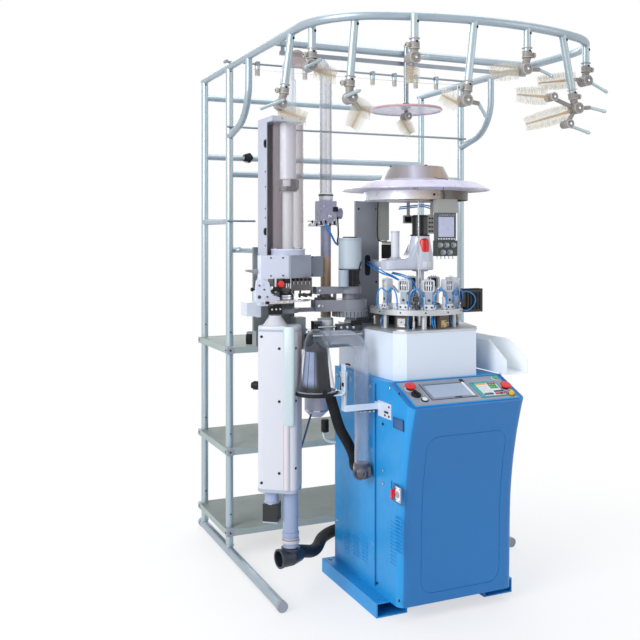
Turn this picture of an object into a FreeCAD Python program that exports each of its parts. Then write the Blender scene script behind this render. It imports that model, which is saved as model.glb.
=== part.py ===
import FreeCAD, Part
import math
import os

V = FreeCAD.Vector
X_AXIS = V(1, 0, 0)
Y_AXIS = V(0, 1, 0)
Z_AXIS = V(0, 0, 1)

# Circular sock knitting machine with its toe-closing unit and yarn creel, in millimetres.
# Origin: on the floor, under the axis of the needle cylinder. +X right, +Y to the rear, +Z up.

# ---- fits -------------------------------------------------------------------------------
RUNNING = 0.05          # radial play of a turning or sliding shaft
AIR = 0.3               # gap between curved faces of different bodies
SHEET = 3.0             # folded sheet steel

# ---- creel: tubes -----------------------------------------------------------------------
POST_R = 17.0
POST_WALL = 2.0
POST_X = 615.0
REAR_POST_Y = 1040.0
FRONT_POST_Y = 645.0
RING_R = 16.0
RING_Z = 2210.0
RING_REAR_Y = 1060.0
RING_BEND_Y = -180.0
RING_CORNER_R = 300.0
RING_CORNER_DEG = 70.0
CROSSBAR_Y = 80.0
RAIL_R = 15.0
REAR_RAIL_ZS = (RING_Z - 84.0, RING_Z - 375.0)
FRONT_RAIL_Z = RING_Z - 484.0
TIE_RAIL_Z = 1513.0
STAY_Z = 1382.0
STAY_X = -560.0
FOOT_R = 20.0
FOOT_CAP = 2.0
FOOT_REAR_Y = 1080.0
LEFT_FOOT_FRONT_Y = -14.0
RIGHT_FOOT_FRONT_Y = 215.0
BRACE_R = 15.0
BRACE_TOP_Y = 380.0
BRACE_BEND_Z = RING_Z - 250.0
BRACE_END_Z = RING_Z - 317.0
BRACE_BEND_R = 180.0

# ---- creel: shelves and small fittings ------------------------------------------------------
SHELF_TOPS = (946.0, 490.0, 128.0)
SHELF_X = 640.0
SHELF_FRONT_Y = 600.0
SHELF_REAR_Y = 1066.0
SHELF_EDGE = 28.0
CLAMP_SIZE = 52.0
CLAMP_HEIGHT = 24.0
CAP_LENGTH = 16.0
STAR_KNOB_X = -401.0
STAR_KNOB_R = 24.0
PLUG_R = 18.0
PLUG_HEIGHT = 55.0
PLUG_X = -500.0
PLUG_Y = 690.0

# ---- creel: guide rods, disc, hangers and brushes ----------------------------------------------
ROD_R = 5.0
WIRE_R = 2.5
UPPER_ROD_Y = 632.0
ROD_HALF = POST_X + POST_R
LOWER_ROD_Z = RING_Z - 273.0
SHORT_ROD_END_X = -500.0
EYELET_XS = (-486.0, -250.0, 105.0, 225.0, 345.0, 462.0)
EYELET_R = 10.0
EYELET_LENGTH = 52.0
FLAT_BAR = (1180.0, 12.0, 16.0)
FLAT_BAR_DROP = 34.0
POLE_X = -35.0
POLE_R = 10.0
DISC_R = 148.0
DISC_Z = RING_Z - 242.0
DISC_THICK = 5.0
DISC_RIM = 7.0
DISC_SLOTS = 8
HANGER_R = 14.0
# each hanger: place on the ring (x, y), sideways lean and drop of its lower end; from that end to
# the clamp's barrel (x, z); from the barrel to both ends of the grip rod it holds (x, z, x, z);
# from the barrel to both ends of each brush (x, z, x, z)
HANGERS = (
    (-615.0, -106.0, -31.0, 235.0, (-14.0, -39.0), (-88.0, -26.0, 4.0, 12.0), ((-9.0, -24.0, 104.0, -48.0),)),
    (-592.0, -247.0, 0.0, 125.0, (-8.0, -27.0), (-31.0, -13.0, 31.0, 21.0), ((16.0, -12.0, 102.0, -32.0),)),
    (-495.0, -401.0, -22.0, 245.0, (2.0, -39.0), (-34.0, -2.0, 27.0, 26.0),
     ((8.0, -17.0, 82.0, -47.0), (31.0, -43.0, 0.0, -104.0))),
    (-325.0, -518.0, 0.0, 120.0, (-7.0, -32.0), (28.0, 4.0, 66.0, 10.0), ((-4.0, -28.0, -4.0, -86.0),)),
    (-90.0, -532.5, -31.0, 255.0, (-10.0, -33.0), (58.0, -6.0, 92.0, -54.0), ((-25.0, -12.0, -94.0, 15.0),)),
    (141.0, -527.5, 0.0, 115.0, (-13.0, -43.0), (67.0, 5.0, 131.0, -16.0), ((-27.0, -6.0, -148.0, -24.0),)),
    (330.0, -490.6, 54.0, 245.0, (10.0, -35.0), (67.0, 8.0, 146.0, -3.0), ((-29.0, -13.0, -230.0, -71.0),)),
    (529.0, -391.0, 0.0, 115.0, (-5.0, -35.0), (25.0, -2.0, 113.0, -37.0), ((-45.0, 3.0, -227.0, -24.0),)),
)
# two more barrels linked to the clamp of the front right hanger, from its own barrel: (x, z) of
# each, with the grip rod of the lower one and the brush of the left one
LOW_HUB = (-41.0, -61.0)
LOW_ROD = (24.0, -8.0, 108.0, -29.0)
LEFT_HUB = (-116.0, 36.0)
LEFT_BRUSH = (-16.0, 0.0, -154.0, 0.0)
LINKED_HANGER_X = 330.0
DISC_CLAMP_DROP = 24.0
DISC_BRUSH = (-24.0, -10.0, 22.0, -72.0)
COLLAR_R = 18.0
COLLAR_LENGTH = 40.0
BARREL_R = 21.0
BARREL_LENGTH = 44.0
KNOB_REACH = 32.0
HUB_R = 16.0
LUG_R = 8.0
PIN_R = 5.5
BRUSH_STEP = 15.0
BRISTLE_TEETH = 6
BRISTLE_REACH = 31.0
BRISTLE_SHEET = 3.0
SPINE = 8.0

# ---- base and cabinet -----------------------------------------------------------------------
BASE_IN_X = 176.0
BASE_OUT_X = 309.0
BASE_FRONT_Y = -205.0
BASE_REAR_Y = 302.0
BASE_H = 57.0
BASE_WALL = 5.0
BASE_HOLE_R = 7.0
BASE_HOLE_INSET = 32.0
CAB_X = 255.0
CAB_FRONT_Y = -200.0
CAB_REAR_Y = 286.0
CAB_TOP = 887.0
COVER_FOOT_Y = -285.0
COVER_KNEE = (-290.0, 330.0)
COVER_BELLY = (-316.0, 590.0)
NOSE_Y = -375.0
NOSE_Z = 813.0
PANEL_BACK_Y = -200.0
COVER_WALL = 5.0
COVER_CORNER_R = 34.0
DOOR = (-165.0, 190.0, 95.0, 700.0)
DOOR_CORNER_R = 52.0
SEAM = 3.0
SIDE_COVER = (-90.0, 262.0, 75.0, 868.0)
SIDE_COVER_THICK = 3.0
PORT = (-63.0, 62.0, 490.0, 552.0)
PORT_Z = 521.0
PORT_DUCT_Y = -28.0
SPIGOT_R = 19.0
PORT_HOSE_Y = 36.0
LOUVRE_LENGTH = 54.0
LOUVRE_H = 5.0
LOUVRE_PITCH = 14.0
LOUVRE_DEEP = 1.5
SIDE_LOUVRE_YS = (140.0, 62.0, -8.0)
SIDE_LOUVRE_COUNT = 6
SIDE_LOUVRE_Z = 142.0
FRONT_LOUVRE_COUNT = 12
FRONT_LOUVRE_Z = 210.0
LATCH = (-322.0, -262.0, 726.0, 761.0)
SWITCH_POCKET = (-285.0, -222.0, 449.0, 520.0)
POCKET_DEEP = 3.0
LEVER_HUB_R = 13.0

# ---- control panel ------------------------------------------------------------------------------
PLATE_X = 228.0
PLATE_V = (20.0, 178.0)
PLATE_THICK = 4.0
SCREEN = (-132.0, 52.0, 56.0, 150.0)
KEYPAD = (78.0, 184.0, 40.0, 132.0)
KEY_GRID = (4, 4)
KEY_GAP = 5.0
ESTOP_LEFT = (-196.0, 128.0)
ESTOP_RIGHT = (207.0, 84.0)
ESTOP_R = 20.0
ESTOP_TRAVEL = 6.0
SELECTOR = (-190.0, 88.0)
STOP_BUTTON = (-172.0, 52.0)
START_BUTTON = (206.0, 158.0)
SPEED_KNOB = (209.0, 40.0)
KNOB_R = 11.0
STEM_R = 5.0
BUTTON_R = 10.0
BUTTON_TRAVEL = 3.0

# ---- enclosure and bed ----------------------------------------------------------------------------
SKIRT_PLAN = ((-175.0, -200.0), (141.0, -200.0), (180.0, -140.0), (238.0, 60.0), (238.0, 280.0),
              (-238.0, 280.0), (-238.0, 60.0), (-216.0, -165.0))
DECK_Z = 1070.0
DECK_THICK = 8.0
BED_X = -21.0
BED_R = 191.0
BED_Z = 1133.0
BED_THICK = 20.0
PILLAR_COUNT = 6
PILLAR_RING_R = 160.0
PILLAR_R = 11.0
CYL_R = 57.0
CYL_BORE_R = 45.0
CYL_BOTTOM = 960.0
CYL_TOP = 1200.0
CYL_GROOVES = 36
GROOVE_WIDTH = 4.0
GROOVE_DEEP = 3.0
CYL_PULLEY_R = 110.0
MOTOR_PULLEY_R = 30.0
PULLEY_Z = 985.0
PULLEY_H = 24.0
BELT_H = 20.0
BELT_THICK = 4.0
MOTOR_Y = 195.0
MOTOR_R = 60.0
MOTOR_H = 240.0
MOTOR_SHAFT_R = 11.0
FEEDER_DEGS = (-92.0, -54.0, -18.0, 16.0, 52.0, 90.0, 127.0, 165.0)
FEEDER_RING_R = 150.0
FEEDER_BASE = (30.0, 40.0, 62.0)
FEEDER_HEAD = (26.0, 46.0, 40.0)
FINGER = (40.0, 5.0, 8.0)
TUBE_DEGS = (-73.0, -36.0, -1.0, 34.0)
BLOCK_RING_R = 145.0
BLOCK_HALF = 25.0
AIR_TUBE_R = 3.0
LOOP_R = 24.0
VALVE_BLOCK = (172.0, 258.0, -74.0, -24.0, 1130.0, 1222.0)
VALVE_FOOT_X = 146.0

# ---- dial head and what stands round it -------------------------------------------------------------
COLUMN_X = (-208.0, -99.0)
COLUMN_Y = 176.0
COLUMN_THICK = 16.0
COLUMN_SLOTS = (0.72, 0.5, 0.23)
SLOT_HALF = 12.0
SLOT_H = 70.0
HAT_X = -22.0
BAND_R = 214.0
BAND_Z = 1590.0
BAND_H = 35.0
SPOKE_HALF = 6.0
HAT_POST_R = 8.0
HEAD_BOTTOM = 1306.0
HEAD_ARM_TOP = HEAD_BOTTOM + 46.0
HEAD_SHOULDER = HEAD_BOTTOM + 72.0
HEAD_TOP = HEAD_SHOULDER + 68.0
HEAD_ARM_X = -172.0
HEAD_ARM_HALF = 38.0
HEAD_LINK = (-146.0, -104.0)
HEAD_LINK_H = 22.0
CAP_X = 21.0
CAP_Y = -34.0
CAP_R = 25.0
HEAD_LOW_R = 55.0
HEAD_TOP_R = 40.0
DIAL_MOTOR_R = 33.0
DIAL_MOTOR_TOP = HEAD_TOP + 83.0
LIFT_CYL_R = 17.0
LIFT_CYL_X = -116.0
LIFT_CYL_TOP = HEAD_ARM_TOP + 114.0
DIAL_R = 58.0
DIAL_Z = 1203.0
DIAL_THICK = 9.0
DIAL_SHAFT_R = 12.0
DISH_WALL = 3.0
DISH_PROFILE = ((0.0, 1728.0), (115.0, 1728.0), (143.0, 1674.0), (250.0, 1662.0), (303.0, 1634.0))
UNIT_X = (-48.0, 48.0)
UNIT_Y = (-214.0, -190.0)
UNIT_Z = (1351.0, 1590.0)
UNIT_SCREEN_Z = (1446.0, 1510.0)
UNIT_KNOB_R = 9.0
UNIT_KNOB_PITCH = 28.0

# ---- transfer arm -------------------------------------------------------------------------------------
ARM_X = -273.0
ARM_Y = 100.0
HEAD_Y = 110.0
HEAD_X = ARM_X - math.sqrt(ARM_X ** 2 + ARM_Y ** 2 - (HEAD_Y - ARM_Y) ** 2)
SHAFT_R = 16.0
SHAFT_TOP = 1290.0
DRUM_R = 74.0
DRUM_Z = 1117.0
DRUM_TEETH = 30
DRUM_TOOTH = 5.0
CASTING_Z = 1141.0
CASTING_TOP = 1187.0
CASTING_END_X = -436.0
FORK_TOP = 1158.0
PICKUP_R = 62.0
PICKUP_BORE_R = 47.0
BAR_Z = 1211.0
BAR_TOP = 1240.0
BAR_END_X = -432.0
BAR_HALF = 22.0
ROLLER_R = 7.0
ROLLER_PITCH = 30.0
TIP_HALF = 24.0
FORK_HALF = 14.0
HOUSING_R = 40.0
HOUSING_TOP = 1306.0
ARM_MOTOR_R = 47.0
ARM_MOTOR_TOP = 1438.0

# ---- toe unit ------------------------------------------------------------------------------------------
CARRIER_Z = 1000.0
CARRIER_TOP = 1062.0
CARRIER_Y = (40.0, 190.0)
STAND_Y = (222.0, 236.0)
STAND_X = (-650.0, -470.0)
BOX_TURN_DEG = 36.0
BOX_X = -611.0
BOX_Y = 25.0
BOX_W = 156.0
BOX_D = 110.0
BOX_BOTTOM = 468.0
BOX_TOP = 1101.0
EDGE_COVER = (7.0, 53.0)
EDGE_COVER_Z = 728.0
EDGE_COVER_PROUD = 13.0
EDGE_TUBE_R = 20.0
HOPPER_SHIFT = -19.0
RELIEF_H = 92.0
TOE_NECK_R = 27.0
TOE_NECK_H = 56.0
TOE_MOTOR_HALF = 29.0
TOE_MOTOR_H = 68.0
TOE_MOTOR_SHIFT = -32.0
BOX_EDGE_R = 30.0
HOPPER_TOP = 1135.0
PIPE_X = -575.0
PIPE_Y = 3.0
PIPE_R = 30.0
PIPE_WALL = 3.0
ELBOW_Z = 205.0
ELBOW_R = 35.0
HORN_WAY = (-0.987, -0.16)
HORN_LENGTH = 49.0
COLLAR_H = 14.0
COLLAR_RISES = (55.0, 84.0)
HOSE_R = 25.0
HOSE_WALL = 4.0
# bends of the outlet hose from the elbow to the rear wall of the cabinet
OUTLET_ROUTE = ((-520.0, 42.0, 205.0), (-400.0, 165.0, 145.0), (-285.0, 345.0, 142.0), (-125.0, 398.0, 150.0))
OUTLET_END_X = -120.0
HEAD_Z = 1280.0
HEAD_CASE_TOP = HEAD_Z + 90.0
FLANGE_TOP = HEAD_CASE_TOP + 22.0
FLANGE_RIM = 6.0
CASING_PLAN = ((-690.0, 20.0), (-568.0, 20.0), (-568.0, 222.0), (-620.0, 222.0), (-690.0, 60.0))
SWITCH_PLAN = ((-576.0, 20.0), (-450.0, 92.0), (-450.0, 222.0), (-576.0, 222.0))
REAR_BOX = (-450.0, -390.0, 110.0, 190.0)
GEARBOX = (-550.0, -460.0, 60.0, 150.0, 1229.0)
GEAR_HUB_R = 46.0
HOOK_BLOCK = (-690.0, -640.0, 20.0, 70.0, 1176.0)
HOOK_PLATE = (-690.0, -676.0, 60.0, 115.0, 1130.0, 1240.0)
FAR_BOX = (-734.0, -690.0, 60.0, 130.0, 1135.0, 1188.0)
LINK_R = 108.0
LINK_BORE_R = 40.0
LINK_Z = 1189.0
LINK_THICK = 8.0
LINK_SHAFT_R = 18.0
LINK_SHAFT_TOP = 1256.0
CHANNEL_X = (-640.0, -500.0)
CHANNEL_Y = (30.0, 195.0)
CHANNEL_TOP = 1913.0
CHANNEL_CAP = 20.0
TUBE_X = -549.0
TUBE_R = 62.0
TUBE_WALL = 3.0
TUBE_Y = 96.0
INNER_R = 22.0
INNER_TOP = 1700.0
GUIDE_R = 33.0
GUIDE_BOTTOM = 1670.0
STAR_X = -532.0
STAR_R = 28.0
STAR_H = 40.0
COLLAR_DROP = 28.0
GUIDE_COLLAR_R = 37.0
GUIDE_COLLAR_H = 20.0
RISER_R = 33.0
RISER_TOP = 2067.0
DUCT_R = 26.0
DUCT_TOP = 2165.0
DUCT_BEND_R = 62.0
WASTE_X = -348.0
WASTE_Y = 176.0
VALVE_Z = (1490.0, 1590.0)
VALVE_HALF = 34.0
WASTE_R = 22.0
CUP_X = -433.0
CUP_Y = 78.0
CUP_R = 48.0
CUP_BOTTOM = 722.0
CARRIER_BLOCK = (-534.0, -495.0, 41.0, 100.0)
CARRIER_BLOCK_H = 63.0
BOSS_X = -384.0
BOSS_R = 32.0
BOSS_H = 50.0

# ---- suction filter ---------------------------------------------------------------------------------------
JAR_X = -495.0
JAR_Y = -60.0
JAR_WALL = 3.0
JAR_BASE_Z = 838.0
JAR_BASE_H = 12.0
JAR_BASE_R = 81.0
# outer bell of the jar: radius and height over the base plate
JAR_PROFILE = ((77.0, 0.0), (70.0, 36.0), (64.0, 70.0), (54.0, 142.0), (48.0, 180.0), (39.0, 210.0), (28.0, 226.0))
JAR_H = 236.0
SLEEVE_R = 56.0
SLEEVE_TOP_R = 40.0
SLEEVE_TOP = 1010.0
SUCTION_R = 28.0
SUCTION_Z = 1052.0
SUCTION_START = 14.0
SUCTION_X = -300.0
SUCTION_BEND_R = 75.0
SUCTION_BOTTOM = 532.0
BALL_R = 33.0
SUCTION_HOSE_R = 21.0
SUCTION_HOSE_X = -445.0
# bends of the suction hose from the filter base to the port in the side cover
SUCTION_ROUTE = ((-445.0, -60.0, 640.0), (-345.0, 36.0, 521.0))
BRACKET_X = -402.0
BRACKET_Y = (-130.0, -97.0)
BRACKET_Z = 775.0
BRACKET_TOP = 953.0
BRACKET_FOOT = (-228.0, -97.0, 745.0, 834.0)

# ---- chute tray ---------------------------------------------------------------------------------------------
TRAY_X = (242.0, 345.0)
TRAY_REAR_Y = 130.0
TRAY_SLOPE_Y = -146.0
TRAY_FRONT_Y = -262.0
TRAY_FLOOR_Z = 897.0
TRAY_TOP_Z = 1020.0
TRAY_LIP_Z = 950.0
TRAY_STRUT_R = 5.0
TRAY_STRUT_Y = -150.0
TRAY_STRUT_Z = 770.0


# ---- shape helpers ---------------------------------------------------------------------------------------------
def box(x0, x1, y0, y1, z0, z1):
    return Part.makeBox(x1 - x0, y1 - y0, z1 - z0, V(x0, y0, z0))


def rod(radius, start, end):
    along = end - start
    return Part.makeCylinder(radius, along.Length, start, along)


def pipe(radius, wall, start, end):
    along = end - start
    outer = Part.makeCylinder(radius, along.Length, start, along)
    return outer.cut(Part.makeCylinder(radius - wall, along.Length, start, along))


def upright(radius, x, y, z0, z1):
    return Part.makeCylinder(radius, z1 - z0, V(x, y, z0))


def upright_pipe(radius, wall, x, y, z0, z1):
    return upright(radius, x, y, z0, z1).cut(upright(radius - wall, x, y, z0, z1))


def plate(points, thickness):
    """Flat plate on the given corners (vectors in one plane), thickened along a vector."""
    return Part.Face(Part.makePolygon(list(points) + [points[0]])).extrude(thickness)


def join(*shapes):
    return shapes[0].multiFuse(list(shapes[1:])).removeSplitter()


def group(shapes):
    return Part.makeCompound(list(shapes))


def rounded_rectangle(a0, a1, b0, b1, radius, place):
    """Wire of a rectangle with round corners; place(a, b) gives each point in space."""
    s = radius * (1.0 - math.sqrt(0.5))
    corners = ((a1 - radius, b0, a1 - s, b0 + s, a1, b0 + radius),
               (a1, b1 - radius, a1 - s, b1 - s, a1 - radius, b1),
               (a0 + radius, b1, a0 + s, b1 - s, a0, b1 - radius),
               (a0, b0 + radius, a0 + s, b0 + s, a0 + radius, b0))
    edges = []
    for index, corner in enumerate(corners):
        start = place(corner[0], corner[1])
        middle = place(corner[2], corner[3])
        end = place(corner[4], corner[5])
        following = corners[(index + 1) % len(corners)]
        edges.append(Part.Arc(start, middle, end).toShape())
        edges.append(Part.LineSegment(end, place(following[0], following[1])).toShape())
    return Part.Wire(edges)


def bend_tangent(before, corner, after, radius):
    """Where an arc of this radius meets the two runs of a corner, and its middle point."""
    to_before = (before - corner).normalize()
    to_after = (after - corner).normalize()
    half = to_before.getAngle(to_after) / 2.0
    back = radius / math.tan(half)
    inward = (to_before + to_after).normalize()
    middle = corner + inward * (radius / math.sin(half) - radius)
    return corner + to_before * back, middle, corner + to_after * back


def route_wire(points, radii):
    """Straight runs between the points, with a tangent arc at each inner point."""
    edges = []
    here = points[0]
    for index, radius in enumerate(radii):
        start, middle, end = bend_tangent(points[index], points[index + 1], points[index + 2], radius)
        edges.append(Part.LineSegment(here, start).toShape())
        edges.append(Part.Arc(start, middle, end).toShape())
        here = end
    edges.append(Part.LineSegment(here, points[-1]).toShape())
    return Part.Wire(edges)


def bent_rod(points, radii, radius):
    path = route_wire(points, radii)
    circle = Part.Wire(Part.makeCircle(radius, points[0], points[1] - points[0]))
    return path.makePipeShell([circle], True, False)


def bent_pipe(points, radii, radius, wall):
    return bent_rod(points, radii, radius).cut(bent_rod(points, radii, radius - wall))


def easy_radii(points):
    """Each bend as large as its two runs allow."""
    radii = []
    for index in range(1, len(points) - 1):
        before = points[index - 1] - points[index]
        after = points[index + 1] - points[index]
        turn = math.pi - before.getAngle(after)
        radii.append(0.45 * min(before.Length, after.Length) / math.tan(turn / 2.0))
    return radii


def around(shape, degrees):
    """A shape turned about the needle cylinder's axis."""
    return shape.copy().rotate(V(0, 0, 0), Z_AXIS, degrees)


# ---- creel -----------------------------------------------------------------------------------------------------
def ring_path():
    """The creel ring from its left rear end round the front to its right rear end."""
    lean = math.radians(RING_CORNER_DEG)
    corner_x = POST_X - RING_CORNER_R
    front_r = RING_CORNER_R + corner_x / math.cos(lean)
    front_y = RING_BEND_Y + corner_x * math.tan(lean)
    half = lean / 2.0
    left = V(-corner_x, RING_BEND_Y, RING_Z)
    right = V(corner_x, RING_BEND_Y, RING_Z)
    c = RING_CORNER_R
    left_a = V(-POST_X, RING_BEND_Y, RING_Z)
    left_b = left + V(-c * math.cos(half), -c * math.sin(half), 0)
    left_c = left + V(-c * math.cos(lean), -c * math.sin(lean), 0)
    right_a = V(POST_X, RING_BEND_Y, RING_Z)
    right_b = right + V(c * math.cos(half), -c * math.sin(half), 0)
    right_c = right + V(c * math.cos(lean), -c * math.sin(lean), 0)
    front = V(0, front_y - front_r, RING_Z)
    rear = V(0, RING_REAR_Y - RING_BEND_Y, 0)
    return Part.Wire([
        Part.LineSegment(left_a + rear, left_a).toShape(),
        Part.Arc(left_a, left_b, left_c).toShape(),
        Part.Arc(left_c, front, right_c).toShape(),
        Part.Arc(right_c, right_b, right_a).toShape(),
        Part.LineSegment(right_a, right_a + rear).toShape()])


def ring_tube(radius):
    start = V(-POST_X, RING_REAR_Y, RING_Z)
    circle = Part.Wire(Part.makeCircle(radius, start, Y_AXIS))
    return ring_path().makePipeShell([circle], True, False)


def foot_rod(side, radius):
    front = LEFT_FOOT_FRONT_Y if side < 0 else RIGHT_FOOT_FRONT_Y
    z = FOOT_R + FOOT_CAP
    return rod(radius, V(side * POST_X, front, z), V(side * POST_X, FOOT_REAR_Y, z))


def creel_posts(ring):
    posts = []
    for side in (-1, 1):
        for y in (REAR_POST_Y, FRONT_POST_Y):
            post = upright_pipe(POST_R, POST_WALL, side * POST_X, y, FOOT_R, RING_Z)
            posts.append(post.cut(ring).cut(foot_rod(side, FOOT_R)))
    return posts


def post_rods():
    spots = [(side * POST_X, y) for side in (-1, 1) for y in (REAR_POST_Y, FRONT_POST_Y)]
    return [upright(POST_R, x, y, 0.0, RING_Z) for x, y in spots]


def creel_brace(side, posts, ring):
    x = side * POST_X
    points = [V(x, BRACE_TOP_Y, RING_Z), V(x, BRACE_TOP_Y, BRACE_BEND_Z), V(x, FRONT_POST_Y, BRACE_END_Z)]
    return bent_rod(points, [BRACE_BEND_R], BRACE_R).cut(ring).cut(posts)


def creel_rails(ring):
    posts = group(post_rods())
    rails = []
    for z in REAR_RAIL_ZS:
        rails.append(pipe(RAIL_R, POST_WALL, V(-POST_X, REAR_POST_Y, z), V(POST_X, REAR_POST_Y, z)).cut(posts))
    rails.append(pipe(RAIL_R, POST_WALL, V(-POST_X, FRONT_POST_Y, FRONT_RAIL_Z),
                      V(POST_X, FRONT_POST_Y, FRONT_RAIL_Z)).cut(posts))
    tie = pipe(RAIL_R, POST_WALL, V(-POST_X, FRONT_POST_Y, TIE_RAIL_Z), V(-POST_X, REAR_POST_Y, TIE_RAIL_Z))
    rails.append(tie.cut(posts))
    rails.append(pipe(RING_R, POST_WALL, V(-POST_X, CROSSBAR_Y, RING_Z), V(POST_X, CROSSBAR_Y, RING_Z)).cut(ring))
    stay_points = [V(-POST_X, FRONT_POST_Y, STAY_Z), V(STAY_X, FRONT_POST_Y, STAY_Z),
                   V(STAY_X, STAND_Y[1], STAY_Z)]
    stay_bend = (POST_X + STAY_X - POST_R) * 0.9
    rails.append(bent_rod(stay_points, [stay_bend], RAIL_R - POST_WALL).cut(posts))
    for side in (-1, 1):
        front = LEFT_FOOT_FRONT_Y if side < 0 else RIGHT_FOOT_FRONT_Y
        z = FOOT_R + FOOT_CAP
        rails.append(pipe(FOOT_R, POST_WALL, V(side * POST_X, front, z), V(side * POST_X, FOOT_REAR_Y, z)))
        rails.append(creel_brace(side, posts, ring))
    return rails


def round_cap(radius, bore, start, end, closed_end):
    """A push-on cap: a ring round the tube and a lid across its end."""
    sleeve = rod(radius, start, end).cut(rod(bore, start, end))
    lid = (end - start).normalize() * closed_end
    return join(sleeve, rod(radius, end, end + lid))


def creel_fittings():
    pieces = []
    z = FOOT_R + FOOT_CAP
    for side in (-1, 1):
        x = side * POST_X
        front = LEFT_FOOT_FRONT_Y if side < 0 else RIGHT_FOOT_FRONT_Y
        pieces.append(round_cap(z, FOOT_R, V(x, front + CAP_LENGTH, z), V(x, front, z), SHEET))
        pieces.append(round_cap(z, FOOT_R, V(x, FOOT_REAR_Y - CAP_LENGTH, z), V(x, FOOT_REAR_Y, z), SHEET))
        for post_y in (REAR_POST_Y, FRONT_POST_Y):
            for top in SHELF_TOPS:
                under = top - SHEET - CLAMP_HEIGHT
                half = CLAMP_SIZE / 2
                rear_y = min(post_y + half, SHELF_REAR_Y - SHEET)
                outer_x = side * min(POST_X + half, SHELF_X - SHEET)
                low_x, high_x = sorted((x - side * half, outer_x))
                block = box(low_x, high_x, post_y - half, rear_y, under, top - SHEET)
                pieces.append(block.cut(upright(POST_R, x, post_y, 0.0, RING_Z)))
    rail_z = REAR_RAIL_ZS[1]
    knob = rod(STAR_KNOB_R, V(STAR_KNOB_X, REAR_POST_Y - RAIL_R - CLAMP_HEIGHT, rail_z),
               V(STAR_KNOB_X, REAR_POST_Y - RAIL_R, rail_z))
    for index in range(5):
        angle = math.radians(72 * index)
        notch = V(STAR_KNOB_X + STAR_KNOB_R * 1.1 * math.cos(angle), REAR_POST_Y - RAIL_R - CLAMP_HEIGHT * 1.5,
                  rail_z + STAR_KNOB_R * 1.1 * math.sin(angle))
        knob = knob.cut(rod(STAR_KNOB_R / 3, notch, notch + V(0, CLAMP_HEIGHT * 2, 0)))
    pieces.append(knob)
    pieces.append(upright(PLUG_R, PLUG_X, PLUG_Y, SHELF_TOPS[0], SHELF_TOPS[0] + PLUG_HEIGHT))
    return pieces


def shelf(top):
    """A folded tray standing upside down, with a hole for each post."""
    tray = box(-SHELF_X, SHELF_X, SHELF_FRONT_Y, SHELF_REAR_Y, top - SHELF_EDGE, top)
    hollow = box(-SHELF_X + SHEET, SHELF_X - SHEET, SHELF_FRONT_Y + SHEET, SHELF_REAR_Y - SHEET,
                 top - SHELF_EDGE, top - SHEET)
    tray = tray.cut(hollow)
    for post in post_rods():
        tray = tray.cut(post)
    return tray


def guide_rods():
    rods = []
    rod_z = RING_Z + RING_R + ROD_R
    wire_z = rod_z - ROD_R - EYELET_R
    carrier = rod(ROD_R, V(-ROD_HALF, UPPER_ROD_Y, rod_z), V(ROD_HALF, UPPER_ROD_Y, rod_z))
    for x in EYELET_XS:
        eyelet = upright_pipe(EYELET_R, EYELET_R - WIRE_R * 2, x, UPPER_ROD_Y, rod_z - EYELET_LENGTH, rod_z)
        collar = box(x - EYELET_R, x + EYELET_R, UPPER_ROD_Y - EYELET_R, UPPER_ROD_Y + EYELET_R, rod_z - ROD_R * 2,
                     rod_z + ROD_R * 2)
        carrier = carrier.fuse(eyelet).fuse(collar)
    wing = box(-ROD_HALF - EYELET_R, -ROD_HALF, UPPER_ROD_Y - EYELET_R * 2, UPPER_ROD_Y + EYELET_R * 2,
               rod_z - ROD_R, rod_z + ROD_R)
    rods.append(join(carrier, wing))
    lower_y = FRONT_POST_Y - POST_R - ROD_R
    rods.append(rod(ROD_R, V(-ROD_HALF, lower_y, LOWER_ROD_Z), V(ROD_HALF, lower_y, LOWER_ROD_Z)))
    rods.append(rod(ROD_R, V(-ROD_HALF, lower_y, TIE_RAIL_Z), V(SHORT_ROD_END_X, lower_y, TIE_RAIL_Z)))
    length, deep, high = FLAT_BAR
    bar_top = RING_Z - RING_R - FLAT_BAR_DROP + high
    bar = box(-length / 2, length / 2, CROSSBAR_Y - deep / 2, CROSSBAR_Y + deep / 2, bar_top - high, bar_top)
    for side in (-1, 1):
        x = side * (length / 2 - deep)
        bar = bar.fuse(box(x - deep / 2, x + deep / 2, CROSSBAR_Y - deep / 2, CROSSBAR_Y + deep / 2, bar_top,
                           RING_Z - RING_R))
    rods.append(bar.removeSplitter())
    pole_y = CROSSBAR_Y - RING_R - POLE_R
    rods.append(upright(POLE_R, POLE_X, pole_y, DISC_Z + DISC_THICK, RING_Z + RING_R * 2))
    return rods


def guide_disc():
    y = CROSSBAR_Y - RING_R - POLE_R
    disc = upright(DISC_R, POLE_X, y, DISC_Z, DISC_Z + DISC_THICK)
    rim = upright_pipe(DISC_R, DISC_RIM, POLE_X, y, DISC_Z - DISC_RIM / 2, DISC_Z + DISC_THICK + DISC_RIM / 2)
    slot_in = DISC_R * 0.42
    slot_out = DISC_R * 0.84
    for index in range(DISC_SLOTS):
        slot = box(slot_in, slot_out, -DISC_THICK, DISC_THICK, DISC_Z - DISC_RIM, DISC_Z + DISC_RIM * 2)
        slot = slot.rotate(V(0, 0, 0), Z_AXIS, 360.0 / DISC_SLOTS * (index + 0.5))
        disc = disc.cut(slot.translate(V(POLE_X, y, 0)))
    return join(disc, rim)


def hanger_foot(hanger):
    return V(hanger[0] + hanger[2], hanger[1], RING_Z - hanger[3])


def hanger_tubes(ring):
    tubes = []
    for hanger in HANGERS:
        head = V(hanger[0], hanger[1], RING_Z)
        tubes.append(rod(HANGER_R, head, hanger_foot(hanger)).cut(ring))
    return tubes


def barrel_centre(hanger):
    return hanger_foot(hanger) + V(hanger[4][0], 0, hanger[4][1])


def barrel(centre, radius):
    """Clamp barrel whose flat faces look to the front and the rear."""
    half = V(0, BARREL_LENGTH / 2, 0)
    return rod(radius, centre - half, centre + half)


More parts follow.
